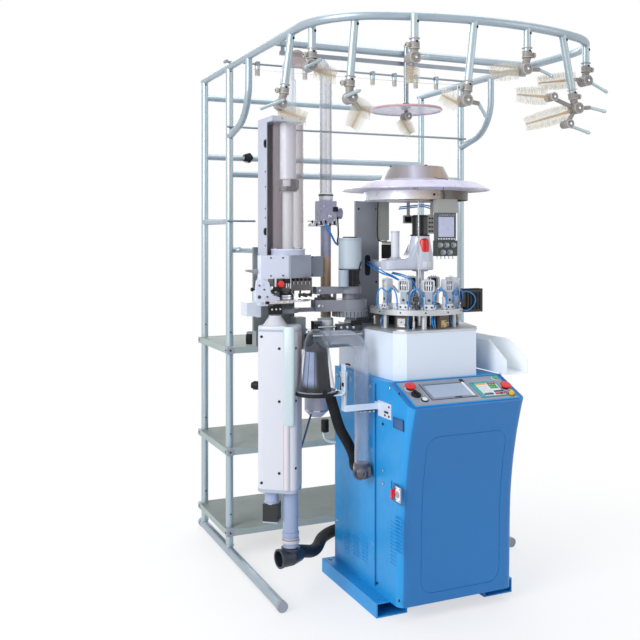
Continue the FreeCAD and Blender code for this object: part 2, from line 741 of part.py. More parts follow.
def lug(centre, offset):
    return rod(LUG_R, centre, centre + V(offset[0], 0, offset[1]))


def grip_rod(centre, ends, front):
    """The short rod a clamp grips, on a lug beside the barrel or across its front face."""
    start = centre + V(ends[0], front, ends[1])
    end = centre + V(ends[2], front, ends[3])
    return rod(PIN_R, start, end)


def brush_clamp(hanger):
    """Collar on the hanger's end, a barrel under it, the rod it grips and a lug for each brush."""
    foot = hanger_foot(hanger)
    along = (foot - V(hanger[0], hanger[1], RING_Z)).normalize()
    centre = barrel_centre(hanger)
    top = foot - along * COLLAR_LENGTH * 0.6
    side = math.copysign(KNOB_REACH, hanger[0])
    parts = [barrel(centre, BARREL_R), rod(COLLAR_R, top, foot), rod(COLLAR_R * 0.8, foot, centre)]
    knob_root = foot - along * LUG_R * 1.5
    parts.append(rod(LUG_R, knob_root, knob_root + V(side, 0, 0)))
    ends = hanger[5]
    if ends[0] < 0.0:
        parts.append(grip_rod(centre, ends, -BARREL_LENGTH / 2 - PIN_R * 0.8))
    else:
        parts.append(lug(centre, ends))
        parts.append(grip_rod(centre, ends, 0.0))
    for index, brush in enumerate(hanger[6]):
        parts.append(lug(centre - V(0, BRUSH_STEP * index, 0), brush))
    if hanger[0] == LINKED_HANGER_X:
        low = centre + V(LOW_HUB[0], 0, LOW_HUB[1])
        left = centre + V(LEFT_HUB[0], 0, LEFT_HUB[1])
        parts += [barrel(low, HUB_R), barrel(left, HUB_R), lug(centre, LOW_HUB), lug(centre, LEFT_HUB)]
        parts += [lug(low, LOW_ROD), grip_rod(low, LOW_ROD, 0.0), lug(left, LEFT_BRUSH)]
    tube = rod(HANGER_R, V(hanger[0], hanger[1], RING_Z), foot)
    return join(*parts).cut(tube)


def disc_clamp():
    """Clamp that hangs from the middle of the guide disc."""
    y = CROSSBAR_Y - RING_R - POLE_R
    centre = V(POLE_X, y, DISC_Z - DISC_CLAMP_DROP)
    return join(barrel(centre, HUB_R), rod(LUG_R, centre, V(POLE_X, y, DISC_Z)), lug(centre, DISC_BRUSH))


def brush_clamps(brushes):
    """Every clamp, slotted where a brush's spine sits in its lug."""
    clamps = [brush_clamp(hanger) for hanger in HANGERS] + [disc_clamp()]
    return [clamp.cut(brushes) for clamp in clamps]


def yarn_brush(centre, ends):
    """A double comb of bristles on a spine that starts at the end of its lug."""
    start = centre + V(ends[0], 0, ends[1])
    run = V(ends[2] - ends[0], 0, ends[3] - ends[1])
    length = run.Length
    way = run / length
    across = V(-way.z, 0, way.x)
    pitch = length / (BRISTLE_TEETH + 1)
    outline = []
    for index in range(BRISTLE_TEETH):
        left = pitch * (index + 0.8)
        right = pitch * (index + 1.3)
        reach = BRISTLE_REACH * (1.0 - 0.25 * abs(index - 2) / BRISTLE_TEETH)
        outline += [(left, SPINE / 2), (left, reach), (right, reach), (right, SPINE / 2)]
    lower = [(along, -height) for along, height in reversed(outline)]
    corners = [(0.0, SPINE / 2)] + outline + [(length, SPINE / 2), (length, -SPINE / 2)] + lower
    corners.append((0.0, -SPINE / 2))
    points = [start + way * along + across * height - V(0, BRISTLE_SHEET / 2, 0) for along, height in corners]
    return plate(points, V(0, BRISTLE_SHEET, 0))


def yarn_brushes():
    brushes = []
    for hanger in HANGERS:
        centre = barrel_centre(hanger)
        for index, ends in enumerate(hanger[6]):
            brushes.append(yarn_brush(centre - V(0, BRUSH_STEP * index, 0), ends))
        if hanger[0] == LINKED_HANGER_X:
            brushes.append(yarn_brush(centre + V(LEFT_HUB[0], 0, LEFT_HUB[1]), LEFT_BRUSH))
    y = CROSSBAR_Y - RING_R - POLE_R
    brushes.append(yarn_brush(V(POLE_X, y, DISC_Z - DISC_CLAMP_DROP), DISC_BRUSH))
    return brushes


# ---- base and cabinet -------------------------------------------------------------------------------------------
def base_rail(side):
    near, far = sorted((side * BASE_IN_X, side * BASE_OUT_X))
    rail = box(near, far, BASE_FRONT_Y, BASE_REAR_Y, 0.0, BASE_H)
    rail = rail.cut(box(near + BASE_WALL, far - BASE_WALL, BASE_FRONT_Y, BASE_REAR_Y, BASE_WALL, BASE_H - BASE_WALL))
    hole_x = side * (BASE_OUT_X - BASE_HOLE_INSET * 0.8)
    for y in (BASE_FRONT_Y + BASE_HOLE_INSET, BASE_REAR_Y - BASE_HOLE_INSET):
        rail = rail.cut(upright(BASE_HOLE_R, hole_x, y, BASE_H / 2, BASE_H))
    return rail


def cabinet_body():
    body = box(-CAB_X, CAB_X, CAB_FRONT_Y, CAB_REAR_Y, BASE_H, CAB_TOP)
    body = body.cut(box(-CAB_X + SHEET, CAB_X - SHEET, CAB_FRONT_Y, CAB_REAR_Y - SHEET, BASE_H + SHEET,
                        CAB_TOP - SHEET))
    body = body.cut(upright(CYL_R * 1.5, 0.0, 0.0, CAB_TOP - SHEET, CAB_TOP))
    body = body.cut(upright(MOTOR_SHAFT_R * 1.5, 0.0, MOTOR_Y, CAB_TOP - SHEET, CAB_TOP))
    duct_bore = SPIGOT_R - TUBE_WALL
    hose_bore = SUCTION_HOSE_R - HOSE_WALL
    duct_port = rod(duct_bore, V(-CAB_X, PORT_DUCT_Y, PORT_Z), V(-CAB_X + SHEET, PORT_DUCT_Y, PORT_Z))
    hose_port = rod(hose_bore, V(-CAB_X, PORT_HOSE_Y, PORT_Z), V(-CAB_X + SHEET, PORT_HOSE_Y, PORT_Z))
    outlet_z = OUTLET_ROUTE[-1][2]
    inlet = rod(HOSE_R, V(OUTLET_END_X, CAB_REAR_Y - SHEET, outlet_z), V(OUTLET_END_X, CAB_REAR_Y, outlet_z))
    return body.cut(duct_port).cut(hose_port).cut(inlet)


def cover_solid(inset, x_inset):
    """The front cover's outer block, drawn in by an inset."""
    belly_y = COVER_BELLY[0] + inset
    corners = [V(0, CAB_FRONT_Y, BASE_H + inset),
               V(0, COVER_FOOT_Y + inset, BASE_H + inset),
               V(0, COVER_KNEE[0] + inset, COVER_KNEE[1]),
               V(0, NOSE_Y + inset, NOSE_Z - inset),
               V(0, PANEL_BACK_Y, CAB_TOP - inset)]
    edges = [Part.LineSegment(corners[0], corners[1]).toShape(),
             Part.LineSegment(corners[1], corners[2]).toShape(),
             Part.Arc(corners[2], V(0, belly_y, COVER_BELLY[1]), corners[3]).toShape(),
             Part.LineSegment(corners[3], corners[4]).toShape(),
             Part.LineSegment(corners[4], corners[0]).toShape()]
    face = Part.Face(Part.Wire(edges))
    half = CAB_X - x_inset
    return face.translate(V(-half, 0, 0)).extrude(V(2 * half, 0, 0))


def cover_round(block, inset):
    """Rounds the two upright front corners."""
    upright_edges = [edge for edge in block.Edges
                     if abs(abs(edge.CenterOfMass.x) - CAB_X + inset) < 1.0 and edge.BoundBox.ZLength > 200.0
                     and edge.CenterOfMass.y < CAB_FRONT_Y - 50.0]
    return block.makeFillet(COVER_CORNER_R - inset, upright_edges)


def left_slots(column_y, first_z, count, face_x):
    """A column of louvre slots pressed into a face on the left side."""
    return [box(face_x, face_x + LOUVRE_DEEP, column_y - LOUVRE_LENGTH / 2, column_y + LOUVRE_LENGTH / 2,
                first_z + LOUVRE_PITCH * index, first_z + LOUVRE_PITCH * index + LOUVRE_H)
            for index in range(count)]


def front_cover():
    outer = cover_round(cover_solid(0.0, 0.0), 0.0)
    cover = outer.cut(cover_round(cover_solid(COVER_WALL, COVER_WALL), COVER_WALL))
    door = rounded_rectangle(DOOR[0], DOOR[1], DOOR[2], DOOR[3], DOOR_CORNER_R, lambda a, b: V(a, NOSE_Y, b))
    inner = rounded_rectangle(DOOR[0] + SEAM, DOOR[1] - SEAM, DOOR[2] + SEAM, DOOR[3] - SEAM,
                              DOOR_CORNER_R - SEAM, lambda a, b: V(a, NOSE_Y, b))
    deep = V(0, CAB_FRONT_Y - NOSE_Y, 0)
    seam = Part.Face(door).extrude(deep).cut(Part.Face(inner).extrude(deep))
    seam = seam.cut(cover_solid(SEAM / 2, 0.0))
    cover = cover.cut(seam)
    slots = left_slots(CAB_FRONT_Y - 45.0, FRONT_LOUVRE_Z, FRONT_LOUVRE_COUNT, -CAB_X)
    slots.append(box(-CAB_X, -CAB_X + POCKET_DEEP, *LATCH))
    slots.append(box(-CAB_X, -CAB_X + POCKET_DEEP, *SWITCH_POCKET))
    cover = cover.cut(group(slots))
    lever_y = (SWITCH_POCKET[0] + SWITCH_POCKET[1]) / 2
    lever_z = (SWITCH_POCKET[2] + SWITCH_POCKET[3]) / 2
    hole = rod(STEM_R + RUNNING, V(-CAB_X, lever_y, lever_z), V(-CAB_X + COVER_WALL, lever_y, lever_z))
    cover = cover.cut(hole)
    for spot in (ESTOP_LEFT, ESTOP_RIGHT, SELECTOR, STOP_BUTTON, START_BUTTON, SPEED_KNOB):
        cover = cover.cut(panel_rod(spot, STEM_R * 2.2, -COVER_WALL * 2, 0.0))
    return cover


def main_switch_lever():
    y = (SWITCH_POCKET[0] + SWITCH_POCKET[1]) / 2
    z = (SWITCH_POCKET[2] + SWITCH_POCKET[3]) / 2
    face_x = -CAB_X + POCKET_DEEP - AIR
    hub = rod(LEVER_HUB_R, V(face_x - LEVER_HUB_R, y, z), V(face_x, y, z))
    handle = box(face_x - LEVER_HUB_R * 1.6, face_x - LEVER_HUB_R, y - STEM_R, y + STEM_R, z - LEVER_HUB_R * 1.8,
                 z + LEVER_HUB_R)
    stem = rod(STEM_R, V(face_x, y, z), V(-CAB_X + COVER_WALL * 2, y, z))
    return join(hub, handle, stem)


def side_cover(side):
    y0, y1, z0, z1 = SIDE_COVER
    near, far = sorted((side * CAB_X, side * (CAB_X + SIDE_COVER_THICK)))
    cover = box(near, far, y0, y1, z0, z1)
    if side < 0:
        for y in SIDE_LOUVRE_YS:
            cover = cover.cut(group(left_slots(y, SIDE_LOUVRE_Z, SIDE_LOUVRE_COUNT, near)))
        port = rounded_rectangle(*PORT, (PORT[3] - PORT[2]) * 0.49, lambda a, b: V(near, a, b))
        cover = cover.cut(Part.Face(port).extrude(V(SIDE_COVER_THICK, 0, 0)))
    return cover


# ---- control panel -----------------------------------------------------------------------------------------------
def panel_frame(shape):
    """Moves a shape from flat panel coordinates (x, distance up the slope, height) to the slope."""
    tilt = math.degrees(math.atan2(CAB_TOP - NOSE_Z, PANEL_BACK_Y - NOSE_Y))
    shape = shape.copy()
    shape.rotate(V(0, 0, 0), X_AXIS, tilt)
    shape.translate(V(0, NOSE_Y, NOSE_Z))
    return shape


def panel_rod(spot, radius, low, high):
    return panel_frame(Part.makeCylinder(radius, high - low, V(spot[0], spot[1], low)))


def control_panel():
    flat = box(-PLATE_X, PLATE_X, PLATE_V[0], PLATE_V[1], 0.0, PLATE_THICK)
    flat = flat.cut(box(SCREEN[0], SCREEN[1], SCREEN[2], SCREEN[3], PLATE_THICK / 2, PLATE_THICK))
    panel = panel_frame(flat)
    for spot in (ESTOP_LEFT, ESTOP_RIGHT, SELECTOR, STOP_BUTTON, START_BUTTON, SPEED_KNOB):
        panel = panel.cut(panel_rod(spot, STEM_R + RUNNING, 0.0, PLATE_THICK))
    return panel


def display_screen():
    margin = KEY_GAP
    return panel_frame(box(SCREEN[0] + margin, SCREEN[1] - margin, SCREEN[2] + margin, SCREEN[3] - margin,
                           PLATE_THICK / 2, PLATE_THICK * 0.9))


def keypad():
    x0, x1, v0, v1 = KEYPAD
    base_top = PLATE_THICK * 1.5
    pad = box(x0, x1, v0, v1, PLATE_THICK, base_top)
    columns, rows = KEY_GRID
    width = (x1 - x0 - KEY_GAP * (columns + 1)) / columns
    height = (v1 - v0 - KEY_GAP * (rows + 1)) / rows
    for column in range(columns):
        for row in range(rows):
            kx = x0 + KEY_GAP + column * (width + KEY_GAP)
            kv = v0 + KEY_GAP + row * (height + KEY_GAP)
            pad = pad.fuse(box(kx, kx + width, kv, kv + height, base_top, base_top + PLATE_THICK / 4))
    return panel_frame(pad.removeSplitter())


def estop(spot):
    """Mushroom head over a neck, on a stem through the panel."""
    head_low = PLATE_THICK + ESTOP_TRAVEL + AIR * 2
    flat = upright(STEM_R, spot[0], spot[1], -COVER_WALL * 1.5, head_low)
    head = upright(ESTOP_R * 0.7, spot[0], spot[1], head_low, head_low + ESTOP_R * 0.5)
    cap = Part.makeCone(ESTOP_R, ESTOP_R * 0.82, ESTOP_R * 0.6, V(spot[0], spot[1], head_low + ESTOP_R * 0.5))
    return panel_frame(join(flat, head, cap))


def push_button(spot):
    low = PLATE_THICK + BUTTON_TRAVEL + AIR
    stem = upright(STEM_R, spot[0], spot[1], -COVER_WALL, low)
    return panel_frame(join(stem, upright(BUTTON_R, spot[0], spot[1], low, low + BUTTON_TRAVEL)))


def turn_knob(spot):
    low = PLATE_THICK + AIR
    x, v = spot
    stem = upright(STEM_R, x, v, -COVER_WALL, low)
    body = upright(KNOB_R, x, v, low, low + KNOB_R * 0.7)
    grip = box(x - KNOB_R * 0.25, x + KNOB_R * 0.25, v - KNOB_R, v + KNOB_R, low + KNOB_R * 0.7, low + KNOB_R * 1.4)
    return panel_frame(join(stem, body, grip))


# ---- drive --------------------------------------------------------------------------------------------------------
def drive_motor():
    bottom = CAB_TOP - SHEET - MOTOR_H
    motor = upright(MOTOR_R, 0.0, MOTOR_Y, bottom, CAB_TOP - SHEET * 4)
    flange = box(-MOTOR_R, MOTOR_R, MOTOR_Y - MOTOR_R, MOTOR_Y + MOTOR_R, CAB_TOP - SHEET * 4, CAB_TOP - SHEET)
    bore = upright(MOTOR_SHAFT_R + RUNNING, 0.0, MOTOR_Y, bottom + MOTOR_H / 3, CAB_TOP)
    return join(motor, flange).cut(bore)


def motor_pulley():
    shaft = upright(MOTOR_SHAFT_R, 0.0, MOTOR_Y, CAB_TOP - MOTOR_H / 2, PULLEY_Z + PULLEY_H)
    return join(shaft, upright(MOTOR_PULLEY_R, 0.0, MOTOR_Y, PULLEY_Z, PULLEY_Z + PULLEY_H))


def belt_loop(offset, z0, z1):
    """The solid inside a loop drawn tight round both pulleys."""
    big = CYL_PULLEY_R + offset
    small = MOTOR_PULLEY_R + offset
    rise = (CYL_PULLEY_R - MOTOR_PULLEY_R) / MOTOR_Y
    level = math.sqrt(1.0 - rise * rise)
    points = [V(big * level, big * rise, z0), V(small * level, MOTOR_Y + small * rise, z0),
              V(-small * level, MOTOR_Y + small * rise, z0), V(-big * level, big * rise, z0)]
    web = plate(points, V(0, 0, z1 - z0))
    return join(web, upright(big, 0.0, 0.0, z0, z1), upright(small, 0.0, MOTOR_Y, z0, z1))


def drive_belt():
    low = PULLEY_Z + (PULLEY_H - BELT_H) / 2
    return belt_loop(AIR + BELT_THICK, low, low + BELT_H).cut(belt_loop(AIR, low, low + BELT_H))


def needle_cylinder():
    barrel = upright(CYL_R, 0.0, 0.0, CYL_BOTTOM, CYL_TOP)
    pulley = upright(CYL_PULLEY_R, 0.0, 0.0, PULLEY_Z, PULLEY_Z + PULLEY_H)
    body = join(barrel, pulley).cut(upright(CYL_BORE_R, 0.0, 0.0, CYL_BOTTOM, CYL_TOP))
    grooves = []
    for index in range(CYL_GROOVES):
        groove = box(CYL_R - GROOVE_DEEP, CYL_R + GROOVE_DEEP, -GROOVE_WIDTH / 2, GROOVE_WIDTH / 2,
                     BED_Z + BED_THICK + AIR, CYL_TOP)
        grooves.append(around(groove, 360.0 / CYL_GROOVES * index))
    return body.cut(group(grooves))


# ---- enclosure, bed and feeders --------------------------------------------------------------------------------------
def skirt_outline(z, inset):
    scale = 1.0 - inset / SKIRT_PLAN[4][0]
    return [V(x * scale, y * scale, z) for x, y in SKIRT_PLAN]


def enclosure_skirt():
    high = V(0, 0, DECK_Z - CAB_TOP)
    outer = plate(skirt_outline(CAB_TOP, 0.0), high)
    return outer.cut(plate(skirt_outline(CAB_TOP, SHEET), high))


def machine_bed():
    deck = plate(skirt_outline(DECK_Z, -SHEET), V(0, 0, DECK_THICK))
    deck = deck.cut(upright(CYL_R * 1.5, 0.0, 0.0, DECK_Z, DECK_Z + DECK_THICK))
    bed = upright(BED_R, BED_X, 0.0, BED_Z, BED_Z + BED_THICK)
    pillars = []
    for index in range(PILLAR_COUNT):
        pillar = upright(PILLAR_R, PILLAR_RING_R, 0.0, DECK_Z + DECK_THICK, BED_Z)
        pillars.append(around(pillar, 360.0 / PILLAR_COUNT * (index + 0.2)).translate(V(BED_X, 0, 0)))
    return join(deck, bed, *pillars).cut(upright(CYL_R + RUNNING, 0.0, 0.0, BED_Z, BED_Z + BED_THICK))


def feeder_block(degrees):
    """White post with a slotted head and three yarn fingers that point at the needles."""
    deep, wide, high = FEEDER_BASE
    head_deep, head_wide, head_high = FEEDER_HEAD
    low = BED_Z + BED_THICK
    post = box(FEEDER_RING_R - deep / 2, FEEDER_RING_R + deep / 2, -wide / 2, wide / 2, low, low + high)
    head = box(FEEDER_RING_R - head_deep / 2, FEEDER_RING_R + head_deep / 2, -head_wide / 2, head_wide / 2,
               low + high, low + high + head_high)
    parts = [post, head]
    long, thin, tall = FINGER
    for index in (-1, 0, 1):
        y = index * thin * 2.6
        root = FEEDER_RING_R - head_deep / 2
        top = low + high + head_high * 0.6
        corners = [V(root, y - thin / 2, top), V(root, y - thin / 2, top - tall),
                   V(root - long, y - thin / 2, top - tall * 4), V(root - long, y - thin / 2, top - tall * 3)]
        parts.append(plate(corners, V(0, thin, 0)))
    return around(join(*parts), degrees - 90.0)


def actuator_blocks():
    blocks = []
    low = DECK_Z + DECK_THICK
    for index in range(PILLAR_COUNT):
        block = box(BLOCK_RING_R - BLOCK_HALF, BLOCK_RING_R + BLOCK_HALF, -BLOCK_HALF, BLOCK_HALF, low, BED_Z)
        blocks.append(around(block, 360.0 / PILLAR_COUNT * (index + 0.7)).translate(V(BED_X, 0, 0)))
    x0, x1, y0, y1, z0, z1 = VALVE_BLOCK
    foot = box(VALVE_FOOT_X, x0, y0, y1, BED_Z + BED_THICK, z1)
    return blocks + [join(box(x0, x1, y0, y1, z0, z1), foot)]


def air_tubes():
    """Pneumatic tubes that arch between neighbouring feeders."""
    tubes = []
    low = BED_Z + BED_THICK
    for degrees in TUBE_DEGS:
        points = [V(FEEDER_RING_R + 12.0, -LOOP_R, low), V(FEEDER_RING_R + 12.0, -LOOP_R, low + LOOP_R * 3.2),
                  V(FEEDER_RING_R + 12.0, LOOP_R, low + LOOP_R * 3.2), V(FEEDER_RING_R + 12.0, LOOP_R, low)]
        tube = bent_rod(points, [LOOP_R * 0.96, LOOP_R * 0.96], AIR_TUBE_R)
        tubes.append(around(tube, degrees - 90.0))
    return tubes


# ---- dial head --------------------------------------------------------------------------------------------------------
def slotted_column():
    column = box(COLUMN_X[0], COLUMN_X[1], COLUMN_Y, COLUMN_Y + COLUMN_THICK, DECK_Z + DECK_THICK, BAND_Z)
    middle = (COLUMN_X[0] + COLUMN_X[1]) / 2
    for share in COLUMN_SLOTS:
        low = BAND_Z - (BAND_Z - DECK_Z) * share
        wire = rounded_rectangle(middle - SLOT_HALF, middle + SLOT_HALF, low, low + SLOT_H, SLOT_HALF * 0.99,
                                 lambda a, b: V(a, COLUMN_Y, b))
        column = column.cut(Part.Face(wire).extrude(V(0, COLUMN_THICK, 0)))
    foot = box(COLUMN_X[0], COLUMN_X[1], COLUMN_Y - COLUMN_THICK, COLUMN_Y + COLUMN_THICK * 3, DECK_Z + DECK_THICK,
               DECK_Z + DECK_THICK * 2)
    return join(column, foot)


def dial_head():
    """White casting: the bottle round the dial's shaft, its arm and the link that rides on the column."""
    arm = plate([V(HEAD_ARM_X, HEAD_ARM_HALF, HEAD_BOTTOM), V(0.0, HEAD_ARM_HALF, HEAD_BOTTOM),
                 V(0.0, -HEAD_ARM_HALF, HEAD_BOTTOM), V(HEAD_ARM_X + HEAD_ARM_HALF, -HEAD_ARM_HALF, HEAD_BOTTOM),
                 V(HEAD_ARM_X, 0.0, HEAD_BOTTOM)], V(0, 0, HEAD_ARM_TOP - HEAD_BOTTOM))
    link_z = HEAD_BOTTOM + HEAD_LINK_H / 2
    link = box(HEAD_LINK[0], HEAD_LINK[1], 0.0, COLUMN_Y, link_z, link_z + HEAD_LINK_H)
    low = upright(HEAD_LOW_R, 0.0, 0.0, HEAD_BOTTOM, HEAD_SHOULDER)
    neck = Part.makeCone(HEAD_LOW_R, HEAD_TOP_R, HEAD_TOP - HEAD_SHOULDER, V(0, 0, HEAD_SHOULDER))
    cap_low = HEAD_SHOULDER + SHEET
    cap = upright(CAP_R, CAP_X, CAP_Y, cap_low, cap_low + (HEAD_TOP - HEAD_SHOULDER) * 0.8)
    bore = upright(DIAL_SHAFT_R + RUNNING, 0.0, 0.0, HEAD_BOTTOM, HEAD_SHOULDER)
    return join(arm, link, low, neck, cap).cut(bore)


def dial_motor():
    motor = upright(DIAL_MOTOR_R, 0.0, 0.0, HEAD_TOP, DIAL_MOTOR_TOP)
    cylinder = upright(LIFT_CYL_R, LIFT_CYL_X, 0.0, HEAD_ARM_TOP, LIFT_CYL_TOP)
    return [motor, cylinder]


def needle_dial():
    disc = upright(DIAL_R, 0.0, 0.0, DIAL_Z, DIAL_Z + DIAL_THICK)
    hub = upright(DIAL_R / 2, 0.0, 0.0, DIAL_Z + DIAL_THICK, DIAL_Z + DIAL_THICK * 3)
    shaft = upright(DIAL_SHAFT_R, 0.0, 0.0, DIAL_Z, HEAD_SHOULDER - SHEET)
    return join(disc, hub, shaft)


def band_ring():
    ring = upright_pipe(BAND_R, SHEET, HAT_X, 0.0, BAND_Z, BAND_Z + BAND_H)
    tab = box(COLUMN_X[0], COLUMN_X[1], COLUMN_Y, COLUMN_Y + COLUMN_THICK, BAND_Z, BAND_Z + SHEET)
    tab = tab.cut(upright(BAND_R - SHEET, HAT_X, 0.0, BAND_Z, BAND_Z + SHEET))
    spokes = []
    for index in range(3):
        spoke = box(0.0, BAND_R - SHEET / 2, -SPOKE_HALF, SPOKE_HALF, BAND_Z, BAND_Z + SHEET)
        spokes.append(around(spoke, 120.0 * index + 20.0).translate(V(HAT_X, 0, 0)))
    post = upright(HAT_POST_R, HAT_X, 0.0, BAND_Z + SHEET, DISH_PROFILE[0][1] - DISH_WALL)
    return join(ring, tab, post, *spokes)


def top_dish():
    """Clear hat over the head, turned as one thin shell."""
    outer = [V(r, 0, z) for r, z in DISH_PROFILE]
    inner = [V(r, 0, z - DISH_WALL) for r, z in reversed(DISH_PROFILE)]
    return plate_revolved(outer + inner).translate(V(HAT_X, 0, 0))


def plate_revolved(points):
    face = Part.Face(Part.makePolygon(points + [points[0]]))
    return face.revolve(V(0, 0, 0), Z_AXIS, 360.0)


def tension_unit():
    unit = box(UNIT_X[0], UNIT_X[1], UNIT_Y[0] + SHEET, UNIT_Y[1], UNIT_Z[0], UNIT_Z[1])
    hood = box(UNIT_X[0], UNIT_X[1], UNIT_Y[0] - SHEET, UNIT_Y[0] + SHEET, UNIT_SCREEN_Z[1], UNIT_Z[1])
    parts = [unit, hood]
    for index in range(5):
        row = index // 3
        x = UNIT_X[0] + UNIT_KNOB_PITCH * (0.75 + index % 3 + row / 2)
        z = UNIT_Z[0] + UNIT_KNOB_PITCH * (2.1 - row)
        parts.append(rod(UNIT_KNOB_R, V(x, UNIT_Y[0] - SHEET * 2, z), V(x, UNIT_Y[0] + SHEET, z)))
    return join(*parts)


# ---- transfer arm ----------------------------------------------------------------------------------------------------
def transfer_arm():
    """Toothed drum, tapered casting with the pick-up ring, and the upper bar."""
    p = V(ARM_X, ARM_Y, 0)
    drum = upright(DRUM_R, ARM_X, ARM_Y, DRUM_Z, CASTING_Z)
    for index in range(DRUM_TEETH):
        angle = math.radians(360.0 / DRUM_TEETH * index)
        cut_at = p + V(DRUM_R * math.cos(angle), DRUM_R * math.sin(angle), 0)
        notch = box(-DRUM_TOOTH / 2, DRUM_TOOTH / 2, -DRUM_TOOTH / 2, DRUM_TOOTH / 2, DRUM_Z, CASTING_Z)
        notch.rotate(V(0, 0, 0), Z_AXIS, math.degrees(angle))
        drum = drum.cut(notch.translate(cut_at))
    end = V(CASTING_END_X, ARM_Y + 4.0, CASTING_Z)
    hub = upright(DRUM_R - DRUM_TOOTH, ARM_X, ARM_Y, CASTING_Z, CASTING_TOP)
    taper = plate([V(ARM_X, ARM_Y - DRUM_R * 0.9, CASTING_Z), V(ARM_X, ARM_Y + DRUM_R * 0.9, CASTING_Z),
                   end + V(0, TIP_HALF, 0), end - V(0, TIP_HALF, 0)], V(0, 0, CASTING_TOP - CASTING_Z))
    fork = plate([end + V(ROLLER_R, -FORK_HALF, 0), end + V(ROLLER_R, FORK_HALF, 0),
                  V(HEAD_X, HEAD_Y + FORK_HALF, CASTING_Z), V(HEAD_X, HEAD_Y - FORK_HALF, CASTING_Z)],
                 V(0, 0, FORK_TOP - CASTING_Z))
    ring = upright(PICKUP_R, HEAD_X, HEAD_Y, CASTING_Z, FORK_TOP)
    neck = upright(HOUSING_R * 0.8, ARM_X, ARM_Y, CASTING_TOP, BAR_Z)
    bar = box(BAR_END_X, ARM_X, ARM_Y - BAR_HALF, ARM_Y + BAR_HALF, BAR_Z, BAR_TOP)
    bar_hub = upright(HOUSING_R + ROLLER_R, ARM_X, ARM_Y, BAR_Z, BAR_TOP)
    rollers = []
    for index in range(1, 4):
        rollers.append(upright(ROLLER_R, BAR_END_X + ROLLER_PITCH * index, ARM_Y, CASTING_TOP, BAR_Z))
    arm = join(drum, hub, taper, fork, ring, neck, bar, bar_hub, *rollers)
    arm = arm.cut(upright(PICKUP_BORE_R, HEAD_X, HEAD_Y, CASTING_Z, FORK_TOP))
    return arm.cut(upright(SHAFT_R + RUNNING, ARM_X, ARM_Y, DRUM_Z, BAR_TOP))


def arm_motor():
    housing = upright(HOUSING_R, ARM_X, ARM_Y, BAR_TOP, HOUSING_TOP)
    motor = upright(ARM_MOTOR_R, ARM_X, ARM_Y, HOUSING_TOP, ARM_MOTOR_TOP)
    bore = upright(SHAFT_R + RUNNING, ARM_X, ARM_Y, BAR_TOP, SHAFT_TOP + CLAMP_HEIGHT * 1.5)
    return join(housing, motor).cut(bore)


# ---- toe unit ---------------------------------------------------------------------------------------------------------
def toe_carrier():
    """Grey casting on the enclosure's side: it carries the arm's shaft, the toe unit and a blower cup."""
    skirt_x = SKIRT_PLAN[5][0]
    slab = box(STAND_X[0] + 40.0, skirt_x, CARRIER_Y[0], CARRIER_Y[1], CARRIER_Z, CARRIER_TOP)
    slab = slab.cut(plate(skirt_outline(CARRIER_Z, 0.0), V(0, 0, CARRIER_TOP - CARRIER_Z)))
    shaft = upright(SHAFT_R, ARM_X, ARM_Y, CARRIER_TOP, SHAFT_TOP)
    back = box(STAND_X[0], STAND_X[1], CARRIER_Y[1], STAND_Y[1], CARRIER_Z, CARRIER_TOP)
    stand = box(STAND_X[0], STAND_X[1], STAND_Y[0], STAND_Y[1], CARRIER_Z, HEAD_CASE_TOP + SHEET * 10)
    block_x0, block_x1, block_y0, block_y1 = CARRIER_BLOCK
    block = box(block_x0, block_x1, block_y0, block_y1, CARRIER_TOP, CARRIER_TOP + CARRIER_BLOCK_H)
    boss = upright(BOSS_R, BOSS_X, ARM_Y, CARRIER_TOP, CARRIER_TOP + BOSS_H)
    cup = upright(CUP_R, CUP_X, CUP_Y, CUP_BOTTOM + CUP_R / 2, CARRIER_Z)
    tip = Part.makeCone(CUP_R / 2, CUP_R, CUP_R / 2, V(CUP_X, CUP_Y, CUP_BOTTOM))
    return join(slab, shaft, back, stand, block, boss, cup, tip)


def toe_place(shape):
    """Moves a shape drawn round the toe unit's own upright axis to its place."""
    shape.rotate(V(0, 0, 0), Z_AXIS, -BOX_TURN_DEG)
    shape.translate(V(BOX_X, BOX_Y, 0))
    return shape


def toe_box():
    """Upright white cover with rounded front edges, turned towards the front left corner."""
    wire = rounded_rectangle(-BOX_W / 2, BOX_W / 2, -BOX_D / 2, BOX_D / 2, BOX_EDGE_R, lambda a, b: V(a, b, BOX_BOTTOM))
    body = Part.Face(wire).extrude(V(0, 0, BOX_TOP - BOX_BOTTOM))
    hopper = Part.makeCone(BOX_D * 0.42, BOX_D * 0.2, HOPPER_TOP - BOX_TOP, V(HOPPER_SHIFT, 0, BOX_TOP))
    front = -BOX_D / 2
    outline = rounded_rectangle(EDGE_COVER[0], EDGE_COVER[1], front - EDGE_COVER_PROUD, front + EDGE_COVER_PROUD,
                                EDGE_COVER_PROUD * 0.9, lambda a, b: V(a, b, EDGE_COVER_Z))
    edge = Part.Face(outline).extrude(V(0, 0, BOX_TOP - EDGE_COVER_Z))
    tube_y = front + EDGE_COVER_PROUD / 2
    tube = upright(EDGE_TUBE_R, (EDGE_COVER[0] + EDGE_COVER[1]) / 2, tube_y, BOX_BOTTOM, EDGE_COVER_Z)
    body = toe_place(join(body, hopper, edge, tube))
    carrier = box(STAND_X[0] + 40.0, SKIRT_PLAN[5][0], CARRIER_Y[0], CARRIER_Y[1], CARRIER_Z, CARRIER_TOP)
    relief_z = JAR_BASE_Z - SHEET
    relief = upright(JAR_BASE_R + SHEET, JAR_X, JAR_Y, relief_z, relief_z + RELIEF_H)
    return body.cut(carrier).cut(relief).cut(upright(PIPE_R, PIPE_X, PIPE_Y, 0.0, BOX_BOTTOM + PIPE_R))


